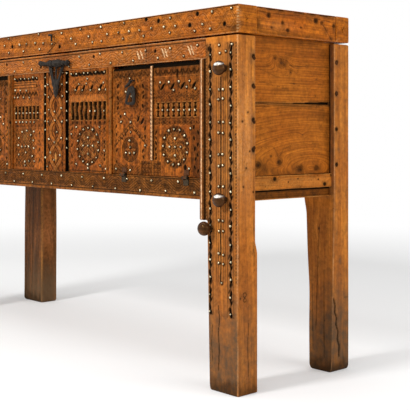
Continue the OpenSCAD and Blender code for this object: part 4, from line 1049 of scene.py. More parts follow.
def lidFace(work, z, x):
    v = lidFront
    phase = math.pi * (x - endX - v["first"]) / v["pitch"]
    swing = v["wave"] * np.cos(phase)
    slope = np.hypot(1, v["wave"] * math.pi / v["pitch"] * np.sin(phase))
    work.ground(smooth((z - 1030) / 10) + smooth((992 - z) / 8), 0.3, 0.35)
    for way in (1, -1):
        off = np.abs(z - v["middle"] - way * swing) / slope
        work.cut(groove(off, 4.2), 1.8, 0.42)
        work.cut(groove(np.abs(off - 6), 3.2), 1.1, 0.28)
    for px, pz in v["studs"]:
        if abs(pz - v["middle"]) < 9:
            work.cut(ring(x, z, px, pz, 10, 3.8), 1.5, 0.55)
    work.holes(x, z, [(px, pz, 6) for px, pz in v["holes"]], 4, 1.0, 1.4)
    work.stains(x, z, [(px, pz, 12, 9, 0.6) for px, pz in v["holes"]] + v["stains"])
    work.lines(z, v["edges"], 2.6, 1.1, 0.55)
    work.cracks(x, z, v["cracks"])
    work.cut(leafage(x, z, 23, 13) * smooth((z - 982) / 5), 1.2, 0.3)
    work.polishAndHighlight(leafage(x + 9, z + 4, 31, 12), 0.06)
    work.polishAndHighlight(smooth((x - endX + 8) / 3) * (0.5 + 0.5 * np.cos(z * math.tau / 8)), 1.0)
    # a ragged dark band cut along the upper edge
    work.cut(smooth((z - 1044.5 + uneven(x, z, 31, 60) * 2.6) / 2.5), 1.6, 0.9)
    studShadowRims(work, x, z, v["studs"], 6.8)


# A rail's ripple: its swing, and how far along it the nearest crest and trough lie
def ripple(x, v):
    along, half = x - endX - v["first"], v["pitch"] / 2
    swing = v["wave"] * np.cos(math.tau * along / v["pitch"])
    return swing, (along + half) % v["pitch"] - half, along % v["pitch"] - half


# The front top rail: three lines in a wave, a stud in every bend, gouges in groups with painted glints
topRail = {
    "pitch": 113.0, "middle": 936.0, "wave": 12.0, "first": -161.0,
    "offsets": (-8, 0, 8), "arcs": (9, 16, 23),
    "studs": [
        (-208, 952), (-155, 924), (128, 952), (183, 923), (241, 954), (297, 922), (355, 951),
        (409, 923), (468, 950), (525, 924), (581, 949), (640, 923), (698, 950), (-267, 923), (-380, 923),
        (-436, 952), (-493, 924), (-549, 952), (-606, 923), (-662, 951), (70, 924),
    ],
    "holes": [(-320, 950), (207, 947), (-98, 930), (512, 945)],
    "gougeGlints": (434, 450, 550, 562, 664, 676),
    "stains": [(490, 938, 26, 26, 0.45), (-60, 925, 70, 20, 0.4), (330, 925, 60, 14, 0.3)],
}


def topRailFace(work, z, x):
    v = topRail
    swing, near, far = ripple(x, v)
    work.ground(smooth((z - 955) / 3) + smooth((917 - z) / 3), 0.4, 0.4)
    for off in v["offsets"]:
        work.cut(groove(np.abs(z - v["middle"] + swing * 0.9 - off), 3.6), 1.6, 0.4)
    for r in v["arcs"]:
        work.cut(ring(near, z, 0, 953, r, 3) * (z > 936) * (z < 958), 1.4, 0.38)
        work.cut(ring(far, z, 0, 923, r, 3) * (z < 938) * (z > 914), 1.4, 0.38)
    work.cut(leafage(x, z, 34, 12) * (z < 956), 0.8, 0.22)
    work.polishAndHighlight(leafage(x + 11, z + 3, 39, 11), 0.15)
    work.lines(z, [960], 3.6, 2.0, 0.85)
    work.lines(z, [914], 2.4, 1.0, 0.5)
    # painted glints: a pale stroke at each gouge, strong at every other, and two small ones after it
    for number, px in enumerate(v["gougeGlints"]):
        strong = 1.0 if number % 2 == 0 else 0.45
        work.polishAndHighlight(smooth(4 * lens(x, z, px, 937, 7, 34, -27)), 2.0 * strong)
        work.cut(lens(x, z, px - 7, 937, 5, 27, -30), 1.6, 0.45)
        for k in range(2):
            work.polishAndHighlight(smooth(2 * lens(x, z, px + 10 + 7 * k, 944 - 4 * k, 4, 13, 30)), 0.4)
    joint = smooth((2.2 - np.abs(x - 470)) / 1.5)
    work.cut(joint * (z > 914) * (z < 962), 2.5, 0.9)
    work.holes(x, z, [(px, pz, 5) for px, pz in v["holes"]], 4, 1.0, 1.4)
    work.stains(x, z, v["stains"])
    studShadowRims(work, x, z, v["studs"])


# The front bottom rail: ripples that curl round each stud
bottomRail = {
    "pitch": 118.0, "middle": 551.0, "wave": 12.0, "first": -126.0,
    "offsets": (-16, -8, 0, 8, 16), "arcs": (7, 13, 19),
    "studs": [
        (321, 535), (443, 534), (496, 565), (561, 537), (686, 538), (380, 566), (262, 565), (203, 536),
        (144, 564), (86, 536), (27, 565), (-32, 536), (-91, 564), (-150, 537), (-209, 564),
        (-268, 536), (-327, 564), (-386, 537), (-445, 565), (-504, 536), (-563, 564), (-622, 537),
        (-681, 564), (616, 566),
    ],
    "stains": [(563, 549, 24, 12, 0.7), (607, 550, 20, 12, 0.7), (646, 569, 18, 9, 0.7),
               (300, 550, 60, 20, 0.4), (90, 548, 50, 20, 0.3), (-180, 550, 80, 20, 0.4)],
}


def bottomRailFace(work, z, x):
    v = bottomRail
    swing, near, far = ripple(x, v)
    work.ground(smooth((z - 530) / 6), 0.3, 0.35)
    fade = (z > 534) * (z < 575) * (0.6 + 0.4 * uneven(x, z, 37, 90))
    for off in v["offsets"]:
        away = np.abs(z - v["middle"] + swing - off)
        work.cut(groove(away, 4.0) * fade, 1.8, 0.6)
        work.polishAndHighlight(groove(np.abs(away - 4), 2.6) * fade, 0.2)
    for r in v["arcs"]:
        work.cut(ring(near, z, 0, 562, r, 2.8), 1.5, 0.6)
        work.cut(ring(far, z, 0, 540, r, 2.8) * (z > 532), 1.5, 0.6)
    work.lines(z, [530], 3.4, 2.0, 0.8)
    work.lines(z, [575], 3, 1.6, 0.8)
    work.stains(x, z, v["stains"])
    studShadowRims(work, x, z, v["studs"])


# The front posts: two chains of spindle cuts and studs, reeds and paired studs between them.
# Every x but those of the lone studs is from the chest's end, negative inwards.
post = {
    "chains": (-110.0, -29.0), "pitch": 47.0, "first": 945.0, "last": 205.0, "reed": -68.0,
    "spindle": ((9, 13), (-3, 15), (-13, 11)),  # (rise, width) of a spindle's three cuts
    "reeds": (-17, -9, 10, 18), "nickColumns": (-8, -124), "nickPitch": 9,
    "pairLevels": (823, 797, 734, 706, 647, 616, 560, 534, 466, 439, 376, 351),
    "lone": [(786, 944), (836, 943), (789, 922), (812, 926), (796, 298)],
    "stains": [(-60, 930, 50, 26, 0.35), (-90, 880, 30, 40, 0.45), (-116, 936, 16, 16, 0.6)],
    # splits at the foot
    "cracks": [(3.0, 2.5, 0.9, [(-78, 235), (-72, 200), (-77, 160), (-73, 120), (-76, 60)]),
               (2.4, 1.5, 0.7, [(-100, 180), (-104, 130), (-99, 80)])],
}


def postStudPlaces():
    v = post
    rng = np.random.default_rng(17)
    out = []
    count = int((v["first"] - v["last"]) / v["pitch"])
    for level in row(v["first"] - v["pitch"] / 2, -v["pitch"], count + 1):
        for chain in v["chains"]:
            out.append((endX + chain + jitter(rng, 1.5), level + jitter(rng, 3)))
    for level in v["pairLevels"]:
        for side in (-8, 9):
            out.append((endX + v["reed"] + side + jitter(rng, 1.5), level + jitter(rng, 1.5)))
    return out + v["lone"]


post["studs"] = postStudPlaces()


def postFace(work, x, z):
    v = post
    u = np.abs(x) - endX
    run = between(z, v["last"], v["first"] + 6, 4)
    work.ground(run * (u < -3), 0.3, 0.3)
    work.ground(run * (u < -3) * between(z, 470, 740, 80), 0.3, 0.42)
    near = (z - v["first"] + v["pitch"]) % v["pitch"] - v["pitch"] / 2
    for chain in v["chains"]:
        work.ground(smooth((13 - np.abs(u - chain)) / 4) * run, 0.5, 0.55)
        for rise, w in v["spindle"]:
            work.cut(lens(u + 1.5 * np.sin(z / 5), near, chain, rise, w, 22) * run, 5.0, 1.0)
        for aside, rise in ((-6, 14), (6, -14)):
            work.cut(lens(u, near, chain + aside, rise, 6, 17, 20) * run, 2.4, 0.85)
        work.lines(u, [chain], 5, 2.5, 0.8, run)
        work.lines(u, (chain - 12, chain + 12), 2.6, 1.2, 0.6, run)
    reed = between(z, 292, 860, 6)
    work.lines(u, [v["reed"] + off for off in v["reeds"]], 2.6, 1.2, 0.6, reed * (z > 300))
    work.lines(u, [v["reed"]], 5, 3.4, 1.0, reed)
    nicks = 0.5 + 0.5 * np.cos(z * math.tau / v["nickPitch"])
    work.lines(u, v["nickColumns"], 6, 1.6, 0.75, nicks * run * (z > 300))
    work.polishAndHighlight(smooth((u + 7) / 3) * nicks, 0.8)
    work.cut(leafage(x, z, 29, 24) * run * (u < -10), 0.8, 0.15)
    work.cut(lens(u, z, -116, 936, 14, 16), 3, 0.95)
    work.stains(u, z, v["stains"])
    work.cracks(u, z, v["cracks"])
    studShadowRims(work, u, z, [(px - endX, pz) for px, pz in v["studs"]])
    footSoil(work, u, z)


# The carved boards of the front, with a cell in millimetres
def frontBoard(node, body, slotName, material, face, seed, upright=True, cell=1.45,
               wavy=0.2, sides=None, span=None, **more):
    low, high = corners(node)
    if node.startswith(("middle", "stile", "panel")):
        low[2], high[2] = sillZ, headZ  # the tongues are hidden in the rails
    if span:
        low[0], high[0] = span
    if upright:
        axes, a, c = "xyz", (low[0], high[0]), (low[2], high[2])
    else:
        axes, a, c = "zyx", (low[2], high[2]), (low[0], high[0])
    piece = timber(node + "_carved", axes, levelsOf(*c, cell), a, (low[1], high[1]),
                   {"face": face, **(sides or {})}, cell=cell, wavy=wavy, seed=seed, **more)
    settle(piece, body, slotName, material, node)


# A side painted black: painted shade, where it stands in a deep channel or joint
def paintedShadeSide(work, y, z):
    work.cut(np.ones(y.shape), 0, 1.0)


muntinLeft, muntinRight = sidesOf("middle_muntin")
stileLow, stileHigh = sidesOf("stile_right")
jambX, postX = sidesOf("baton_right")

frontBoard("panel_middle_right", "root", "pine", panelPine, panelRightFace, 11,
           span=(muntinRight - 5, stileLow))
frontBoard("panel_middle_left", "root", "pine", panelPine, panelLeftFace, 12,
           span=(-stileLow, muntinLeft + 5))
frontBoard("middle_muntin", "root", "pine", panelPine, muntinFace, 13,
           sides={"right": paintedShadeSide, "left": paintedShadeSide}, rim=(0.1, 0.4))
frontBoard("door_board_inner", "door", "dark_pine", doorPine, doorInnerFace, 14)
frontBoard("door_board_outer", "door", "dark_pine", doorPine, doorOuterFace, 15)


def mirrored(face):
    return lambda work, x, z: face(work, -x, z)


splitX = corners("door_board_inner")[1][0]
frontBoard("panel_left_inner", "root", "dark_pine", doorPine, mirrored(doorInnerFace), 16,
           span=(-splitX, -stileHigh))
frontBoard("panel_left_outer", "root", "dark_pine", doorPine, mirrored(doorOuterFace), 17,
           span=(-jambX, -splitX))
print("front panels made")

frontBoard("front_top_rail", "root", "pine", topPine, topRailFace, 21, upright=False,
           cell=1.6, wavy=0.35, span=(-postX, postX), knots=[(-420, 940, 8, 10), (250, 934, 6, 10)])
frontBoard("front_bottom_rail", "root", "dark_pine", railPine, bottomRailFace, 22,
           upright=False, cell=1.6, wavy=0.35, span=(-jambX, jambX))
frontBoard("lid_front_beam", "lid", "pine", framePine, lidFace, 23, upright=False, cell=1.8,
           wavy=0.35, span=(-endX + 0.4, endX - 0.4), sideCell=8, endShade=0.15, endPith=lidPith)
print("rails and lid front made")


# Legs darken and grey towards the floor
def legGrime(along, across):
    blotch = 1 + 0.5 * uneven(across, along, 53, 90)
    foot = 0.9 * smooth((95 - along - 25 * blotch) / 60)
    return np.clip(0.95 * smooth((480 - along) / 420) * blotch + foot, 0, 1)


def frontLegGrime(along, across):
    return legGrime(along, across) * np.where(np.abs(across) > endX - 3, 0.55, 1)


# Soil of the floor, dark and ragged round a foot
def footSoil(work, a, z):
    work.cut(smooth((58 - z + 18 * uneven(a, z, 59, 40)) / 56) / 2.2, 0, 0.6)


# The outer side of a front post: pegged edge, knot figures, a streak and small dents
frontSide = {
    "stains": [(-196, 262, 5, 10, 0.75), (-198, 240, 3, 9, 0.8), (-186, 520, 26, 60, 0.22),
               (-170, 700, 14, 90, 0.25), (-200, 860, 12, 30, 0.25), (-155, 600, 10, 80, 0.4),
               (-185, 110, 30, 60, 0.3), (-152, 300, 8, 120, 0.35)],
    "knots": ((-195, 270, 6), (-195, 256, 5)),
    "cracks": [(2.0, 0.6, 0.5, [(-170, 955), (-172, 900), (-169, 850)]),
               (1.8, 0.5, 0.45, [(-204, 700), (-202, 640), (-205, 560)]),
               (2.0, 0.6, 0.6, [(-160, 470), (-162, 400), (-158, 330)]),
               (2.2, 1.0, 0.7, [(-180, 200), (-184, 130), (-180, 40)])],
    "dents": ((-205, 735), (-190, 610), (-176, 655), (-200, 560), (-183, 760), (-163, 545)),
    "pegY": -162, "pegs": (912, 832, 740, 659), "pegStains": (916, 908, 832, 740, 659),
}


def postSide(work, y, z):
    v = frontSide
    work.stains(y, z, v["stains"] + [(v["pegY"], pz, 12, 15, 0.8) for pz in v["pegStains"]])
    for py, pz, r in v["knots"]:
        work.cut(ring(y, z, py, pz, r, 3), 0.8, 0.75)
    work.cracks(y, z, v["cracks"])
    work.holes(y, z, [(py, pz, 3.5) for py, pz in v["dents"]], 1.2, 0.8)
    work.holes(y, z, [(v["pegY"], pz, 6.5) for pz in v["pegs"]], 1.2, 0.9, 1.3)
    work.polishAndHighlight(np.exp(-((z - 690) / 190) ** 2) * smooth((-158 - y) / 16), 0.24)
    footSoil(work, y, z)


# The outer side of a rear post: pegs' stains, a smudge, a scratch across and a long crack
rearSide = {
    "split": [(174, 216), (182, 196), (179, 178), (188, 160), (185, 140), (195, 118), (191, 96),
              (200, 76), (198, 46)],
    "splitCuts": ((9.0, 3.0, 0.5), (4.5, 4.0, 0.85)),  # (width, depth, shade)
    "cracks": [(2.4, 0.6, 0.35, [(190, 214), (212, 214), (246, 217)])],
    "stains": [(203, 326, 12, 12, 0.7), (190, 620, 9, 22, 0.5), (196, 655, 8, 10, 0.6),
               (188, 913, 9, 12, 0.7), (186, 821, 10, 14, 0.8), (188, 700, 6, 40, 0.5),
               (235, 500, 12, 160, 0.35), (186, 400, 7, 120, 0.35)],
    "pegY": 187, "pegs": (913, 821, 716, 612),
}


def rearPostSide(work, y, z):
    v = rearSide
    work.cracks(y, z, v["cracks"] + [(*cut, v["split"]) for cut in v["splitCuts"]])
    work.polishAndHighlight(np.exp(-((y - 191 - (150 - z) * 0.12) / 3) ** 2) * (z < 210) * (z > 60), 0.45)
    work.ground(smooth((z - 430) / 90), 0, 0.22)
    work.stains(y, z, v["stains"])
    work.holes(y, z, [(v["pegY"], pz, 6.5) for pz in v["pegs"]], 1.6, 0.95, 1.3)
    footSoil(work, y, z)


# The left leg greys towards its foot
def leftLegGrime(along, across):
    return 0.12 + 0.8 * smooth((230 - along) / 190)


# Its inner side: a darker streak down the rear edge
leftSide = {
    "cracks": [(2.4, 1.2, 0.5, [(200, 470), (204, 330), (198, 190)]),
               (3.0, 1.6, 0.7, [(182, 130), (188, 80), (184, 20)])],
}


def leftLegSide(work, y, z):
    work.cut(smooth((y - 226) / 14) * (z < 500) / 2.2, 0, 0.55)
    work.cracks(y, z, leftSide["cracks"])
    footSoil(work, y, z)


# The front of a rear post, in the shade of the end: painted shade darkens it, brown and rough, with the
# board's joint
rearFront = {
    "joint": 840,
    "cracks": [(2.6, 1.2, 0.65, [(778, 250), (786, 60)]), (2.6, 1.2, 0.65, [(802, 430), (796, 120)]),
               (2.6, 1.2, 0.65, [(824, 300), (830, 40)])],
    "stains": [(790, 330, 20, 34, 0.4), (770, 180, 16, 60, 0.5), (820, 100, 26, 50, 0.4)],
}


def rearPostFront(work, x, z):
    v = rearFront
    u = np.abs(x)
    # painted shade: darker above 500 mm, where the end shades it, most on the inner part high up
    work.ground(smooth((z - 500) / 30), 0, 0.7)
    work.ground(smooth((z - 760) / 160) * smooth((796 - u) / 20), 0, 0.95)
    work.lines(u, [v["joint"]], 5, 2.0, 1.0, z > 586)
    work.ground(smooth((500 - z) / 30), 0, 0.2)
    work.cracks(u, z, v["cracks"])
    work.stains(u, z, v["stains"])
    footSoil(work, u, z)


railLow = corners("front_bottom_rail")[0][2]

# How the legs taper, bulge and step, in millimetres
leg = {
    "trim": 0.4,  # what the posts stay inside their box
    "wornFoot": 16, "shoulder": corners("baton_right")[0][2],
    "frontTaper": 10, "frontDeeper": 8, "rearTaper": 28, "wane": 8,
    "bulge": (7, 230, 90),  # width, height and half length
    "leftShoulder": railLow - 20, "leftStep": 5, "leftTaper": 9,
}


# Levels of a post, and how much its worn foot is rounded at each
def postLevels(cell, side):
    c = levelsOf(0, topZ, cell * (1 if side > 0 else 1.2), 4.0)
    return c, np.clip(1 - c / leg["wornFoot"], 0, 1) ** 2


def frontPost(node, side):
    v = leg
    low, high = corners(node)
    c, footRound = postLevels(1.95, side)
    legIn = postX + 6 + v["frontTaper"] * (1 - c / v["shoulder"]) + 4 * footRound
    inner = np.where(c > v["shoulder"] + 0.6, postX,
                     np.where(c < v["shoulder"] - 0.6, legIn, postX + 3))
    # the leg is a little deeper below than above
    back = high[1] - v["frontDeeper"] * smooth((c - 375) / 40)
    piece = timber(node + "_carved", "xyz", c, (side * inner, side * (endX - v["trim"]) + 0 * c),
                   (low[1] + 0 * c, back), {"face": postFace, "right": postSide}, cell=1.6,
                   corner=3.4, seed=41 + side, pith=(side * 700, 90, 0.03),
                   knots=[(262, side * 834 + 35, 7, 14), (700, side * 850, 6, 9)],
                   grime=frontLegGrime, sideCell=2.4, rim=(0.6, 0.35))
    settle(piece, "root", "pine", postPine, node)


def rearPost(node, side):
    v = leg
    low, high = corners(node)
    c, footRound = postLevels(3.3, side)
    rearIn = corners("post_rear_right")[0][0]
    faceY = corners("post_rear_left")[0][1]
    backY = corners("rear_top_rail")[1][1]
    waney = v["wane"] * smooth((railLow - c) / 60) * (1 + uneven(0 * c, c, 47 + side, 170))
    if side > 0:  # narrows down to a foot that comes forward
        fall = np.clip(1 - c / railLow, 0, 1)
        wide, middle, long = v["bulge"]
        bulge = wide * np.exp(-((c - middle) / long) ** 2) + 9 * footRound
        inner = rearIn + v["rearTaper"] * fall + 0.8 * waney + bulge
        outer = endX - v["trim"] - 6 * footRound
        b = (faceY + (low[1] - faceY) * fall, high[1] - v["trim"] + 0 * c)
    else:  # a shoulder, and a thick leg below it
        below = smooth((v["leftShoulder"] - c) / 1.5)
        inner = rearIn - (rearIn + high[0]) * below + 0.4 * waney
        drawn = v["leftStep"] + v["leftTaper"] * c / railLow + 0.4 * waney
        outer = endX - v["trim"] - drawn * below - 5 * footRound
        b = (low[1] + 0 * c, backY + (high[1] - backY) * below - v["trim"])
    piece = timber(node + "_worn", "xyz", c, (side * inner, side * outer), b,
                   {"face": rearPostFront, "right": rearPostSide if side > 0 else leftLegSide},
                   cell=2.7, corner=4.0 if side > 0 else 8.0, seed=44 + side,
                   pith=(side * 690, 60, 0.05),
                   knots=[(420, side * 800, 9, 16), (150, side * 830, 7, 14)],
                   grime=legGrime if side > 0 else leftLegGrime, sideCell=2.6, wavy=0.6,
                   rim=(0.6, 0.5))
    settle(piece, "root", "pine", postPine if side > 0 else shadedLegPine, node)


frontPost("post_front_right", 1)
frontPost("post_front_left", -1)
rearPost("post_rear_right", 1)
rearPost("post_rear_left", -1)
print("posts made")


# Plain boards: ends, back, lid frame
def plainBoard(node, body, slotName, material, axes, seed, outward=1, cell=6.0, trimLow=0,
               trimHigh=0, **more):
    low, high = corners(node)
    low, high = low + trimLow, high - trimHigh
    order = ["xyz".index(axis) for axis in axes]
    a, b, c = ((low[k], high[k]) for k in order)
    if outward > 0:
        b = b[::-1]
    piece = timber(node + "_worn", axes, levelsOf(*c, cell), a, b, cell=cell, seed=seed, **more)
    settle(piece, body, slotName, material, node)


bothEnds = (("right", 1), ("left", -1))

# The upper end board: an open seam that widens to the rear, stained corners, knot figures.
# Knots and dents are (y, z, radius).
endUpper = {
    "seam": 789,
    # the last two stains, long dark bands along the top under the lid's edge, are painted shadow
    "stains": [(-27, 902, 16, 14, 0.3), (-55, 914, 9, 12, 0.3), (8, 880, 8, 12, 0.25),
               (-140, 940, 30, 40, 0.3), (160, 930, 30, 60, 0.35), (165, 820, 14, 50, 0.4),
               (-100, 960, 120, 12, 0.5), (60, 962, 120, 14, 0.6)],
    "knots": ((-30, 910, 5), (-20, 897, 5), (-38, 894, 4), (-54, 916, 4), (10, 882, 4), (-8, 905, 3)),
    "cracks": [(2.6, 0.8, 0.6, [(2, 897), (40, 894), (80, 899), (172, 899)]),
               (2.0, 0.5, 0.4, [(-128, 884), (-90, 874), (-50, 862), (0, 868)])],
    "scratches": (-120, 31, 9),  # a row of short ones: first, pitch and count
}


def endUpperFace(work, z, y):
    v = endUpper
    opening = smooth((y + 40) / 200)
    work.cut(smooth((v["seam"] + 6 * opening - z) / 2), 6, 1.0)
    work.lines(z - 4 * opening, [v["seam"] + 3], 5, 1.0, 0.6, smooth((y - 60) / 60))
    work.stains(y, z, v["stains"])
    work.dents(y, z, v["knots"], 0.8, 0.45)
    for py, pz, r in v["knots"]:
        work.cut(groove(np.abs(np.hypot((y - py) / 1.2, z - pz) - 1.6 * r), 2.4), 0.5, 0.4)
    work.cracks(y, z, v["cracks"])
    for k, y0 in enumerate(row(*v["scratches"])):
        z0 = 846 - 5 * (k % 4)
        work.cracks(y, z, [(1.8, 0.5, 0.5, [(y0, z0), (y0 + 24, z0 - 1)])])


endLower = {
    "seam": 781.5,
    "stains": [(-125, 614, 24, 22, 0.85), (-40, 622, 12, 14, 0.65), (52, 600, 22, 16, 0.7),
               (125, 602, 30, 12, 0.6), (150, 760, 26, 26, 0.5), (-112, 604, 50, 20, 0.75),
               (166, 690, 12, 90, 0.45), (20, 592, 150, 9, 0.45)],
    "dents": ((-122, 616, 7), (-38, 622, 6), (50, 604, 8), (120, 603, 7), (-72, 640, 3)),
    "cracks": [(2.0, 0.5, 0.4, [(-36, 640), (-20, 660), (20, 672), (90, 676), (172, 672)]),
               (2.0, 0.5, 0.45, [(-120, 655), (-90, 668), (-60, 665), (-44, 640)])],
}


def endLowerFace(work, z, y):
    v = endLower
    work.cut(smooth((z - v["seam"]) / 2), 3, 0.95)
    work.lines(z, [v["seam"] - 3.5], 4, 1.2, 0.7, smooth((-70 - y) / 30))
    work.stains(y, z, v["stains"])
    work.dents(y, z, v["dents"], 0.8, 0.55, 1.3)
    work.cracks(y, z, v["cracks"])


# The end rail: a worn upper band, then a step down to a dark strip
endRail = {
    "step": 546, "top": 583,
    "stains": [(-66, 575, 16, 11, 0.85), (147, 556, 14, 9, 0.8), (100, 580, 10, 5, 0.6),
               (-120, 560, 12, 16, 0.4), (40, 550, 60, 4, 0.4)],
    "holes": ((-66, 577, 6), (147, 555, 6), (118, 570, 3), (-10, 566, 2.5), (30, 574, 2.5)),
    "lostCorner": (178, 586, 10),
}


def endRailFace(work, z, y):
    v = endRail
    step = v["step"] + 2.4 * uneven(0 * z, y, 67, 130)
    work.ground(smooth((step - z) / 2.5), 9, 0.85)
    work.cut(groove(np.abs(z - step + 2), 6), 9.5, 1.0)
    work.cut(smooth((z - v["top"]) / 1.5), 2.0, 0.9)
    work.stains(y, z, v["stains"])
    work.holes(y, z, v["holes"], 1.5, 0.9, wide=1.2)
    work.holes(y, z, [v["lostCorner"]], 5, 0.8, 1)
    work.polishAndHighlight(between(z, v["step"] + 3, v["top"] - 1, 5, 6), 0.3)


for sideName, way in bothEnds:
    for name, face, seed, pith, knots in (
            ("end_board_upper_", endUpperFace, 62, (1080, 40, 0.05),
             [(-30, 903, 12, 34), (-56, 914, 6, 16), (10, 876, 6, 16), (120, 860, 5, 6)]),
            ("end_board_lower_", endLowerFace, 61, (604, 30, -0.32),
             [(-40, 622, 9, 24), (-122, 614, 8, 20), (52, 598, 8, 18), (60, 700, 6, 8)])):
        plainBoard(name + sideName, "root", "pine", endPine, "zxy", seed + way, way,
                   faces={"face": face}, cell=2.2, sideCell=6.0, wavy=0.5, pith=pith, knots=knots)
    plainBoard("end_rail_" + sideName, "root", "pine", endPine, "zxy", 65 + way, way,
               faces={"face": endRailFace}, knots=[(-66, 575, 8, 14), (147, 556, 8, 12)],
               cell=2.0, corner=4.0, rim=(0.8, 0.4))
for node, seed, pith, knots in (
        ("back_board_lower", 71, (500, 30, 0.1),
         [(-380, 640, 13, 25), (220, 700, 10, 20), (560, 600, 12, 20)]),
        ("back_board_upper", 72, (960, 20, 0.07), [(-120, 820, 12, 24), (480, 860, 11, 20)]),
        ("rear_top_rail", 73, None, ()), ("rear_bottom_rail", 74, None, ())):
    plainBoard(node, "root", "plain_pine", backPine, "zyx", seed, pith=pith, knots=knots)
print("boards made")

plainBoard("lid_rear_beam", "lid", "pine", framePine, "zyx", 81, trimLow=np.array([0.4, 0, 0]),
           trimHigh=np.array([0.4, 0.4, 0.3]), corner=3.0, endShade=0.25, endPith=lidPith)

# The lid's ends: knots and nail holes, a dark joint at each beam, a V of stain, a split edge
lidEnd = {
    "joint": 183,
    # the long band along the foot, at 979, is painted shade on the lid's lower edge; those at 1043 and
    # 1044 darken the top edge
    "stains": [(-142, 1000, 9, 26, 0.85), (-136, 985, 18, 12, 0.7), (-102, 1030, 9, 7, 0.9),
               (-46, 1008, 8, 24, 0.7), (94, 1030, 9, 8, 0.9), (174, 1020, 10, 22, 0.6),
               (136, 1000, 12, 26, 0.5), (160, 980, 14, 12, 0.7), (-25, 992, 7, 6, 0.7),
               (40, 1044, 90, 7, 0.8), (-60, 1043, 60, 6, 0.8), (0, 979, 190, 8, 0.75),
               (-80, 1012, 40, 16, 0.2), (150, 1043, 40, 8, 0.8), (60, 1030, 50, 5, 0.45)],
    "dents": ((-102, 1028, 6), (94, 1028, 7), (120, 1024, 5), (174, 1019, 5), (-25, 992, 5),
              (-46, 1012, 4), (30, 1004, 3), (-90, 995, 3)),
    "cracks": [(3.6, 1.0, 0.5, [(118, 1026), (140, 1004), (164, 976)]),
               (3.0, 0.8, 0.55, [(-140, 1036), (-60, 1034), (30, 1037), (160, 1031)])],
}
lidEnd["stains"] += [(-60 + 37 * k, 1000 + 17 * math.sin(2.3 * k), 13, 5, 0.3) for k in range(7)]


def lidEndFace(work, z, y):
    v = lidEnd
    work.lines(y, [v["joint"]], 3, 0.8, 0.35)
    work.stains(y, z, v["stains"])
    work.dents(y, z, v["dents"], 1.2, 0.75, 1.2)
    work.cracks(y, z, v["cracks"])
    work.polishAndHighlight(blot(y, z, -60, 1002, 70, 16), 0.08)
    work.cut(smooth((z - 1044 + uneven(y, z, 33, 50) * 3.0) / 3), 1.6, 0.9)


def lidEndBeams():
    low, high = corners("lid_end_beams")
    front = corners("lid_front_beam")[1][1]
    rear = corners("lid_rear_beam")[0][1]
    inner = corners("lid_boards")[1][0]
    for sideName, way in bothEnds:
        piece = timber("lid_end_beam_" + sideName, "zxy", levelsOf(front, rear, 2.2),
                       (low[2], high[2] - 0.3), (way * (endX - 0.4), way * inner),
                       {"face": lidEndFace}, cell=2.2, seed=83 + way, wavy=0.6, corner=3.0,
                       pith=lidPith, knots=[(-102, 1028, 6, 12), (94, 1028, 6, 12)],
                       rim=(0.2, 0.5))
        settle(piece, "lid", "pine", framePine)
    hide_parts("lid_end_beams")


lidEndBeams()


def lidTop():
    low, high = corners("lid_boards")
    middle = (low[1] + high[1]) / 2
    # the boards lap a little, so that no light shows through their joint
    for number, (y0, y1) in enumerate(((low[1], middle + 1.5), (middle - 1.5, high[1]))):
        piece = timber("lid_top_board_" + str(number + 1), "yzx", levelsOf(low[0], high[0], 6.0),
                       (y0, y1), (high[2] - 0.6, low[2]), cell=5.0, seed=86 + number, wavy=0.5,
                       pith=(y0 - 30, 30, 0.05),
                       knots=[(-500, y0 + 60, 14, 24), (210, y0 + 110, 11, 20), (610, y0 + 40, 9, 16)])
        settle(piece, "lid", "pine", framePine)
    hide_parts("lid_boards")


lidTop()
print("lid frame made")


# Beads: a half round with a painted highlight along its nose and painted shade at its feet. A twist of
# so many millimetres makes a rope of it.
bead = {"cell": 2.5, "ropeCell": 1.2, "twist": 12.5, "ropeIn": 0.38, "wornAndLit": 0.16, "ropeWornAndLit": 0.35}


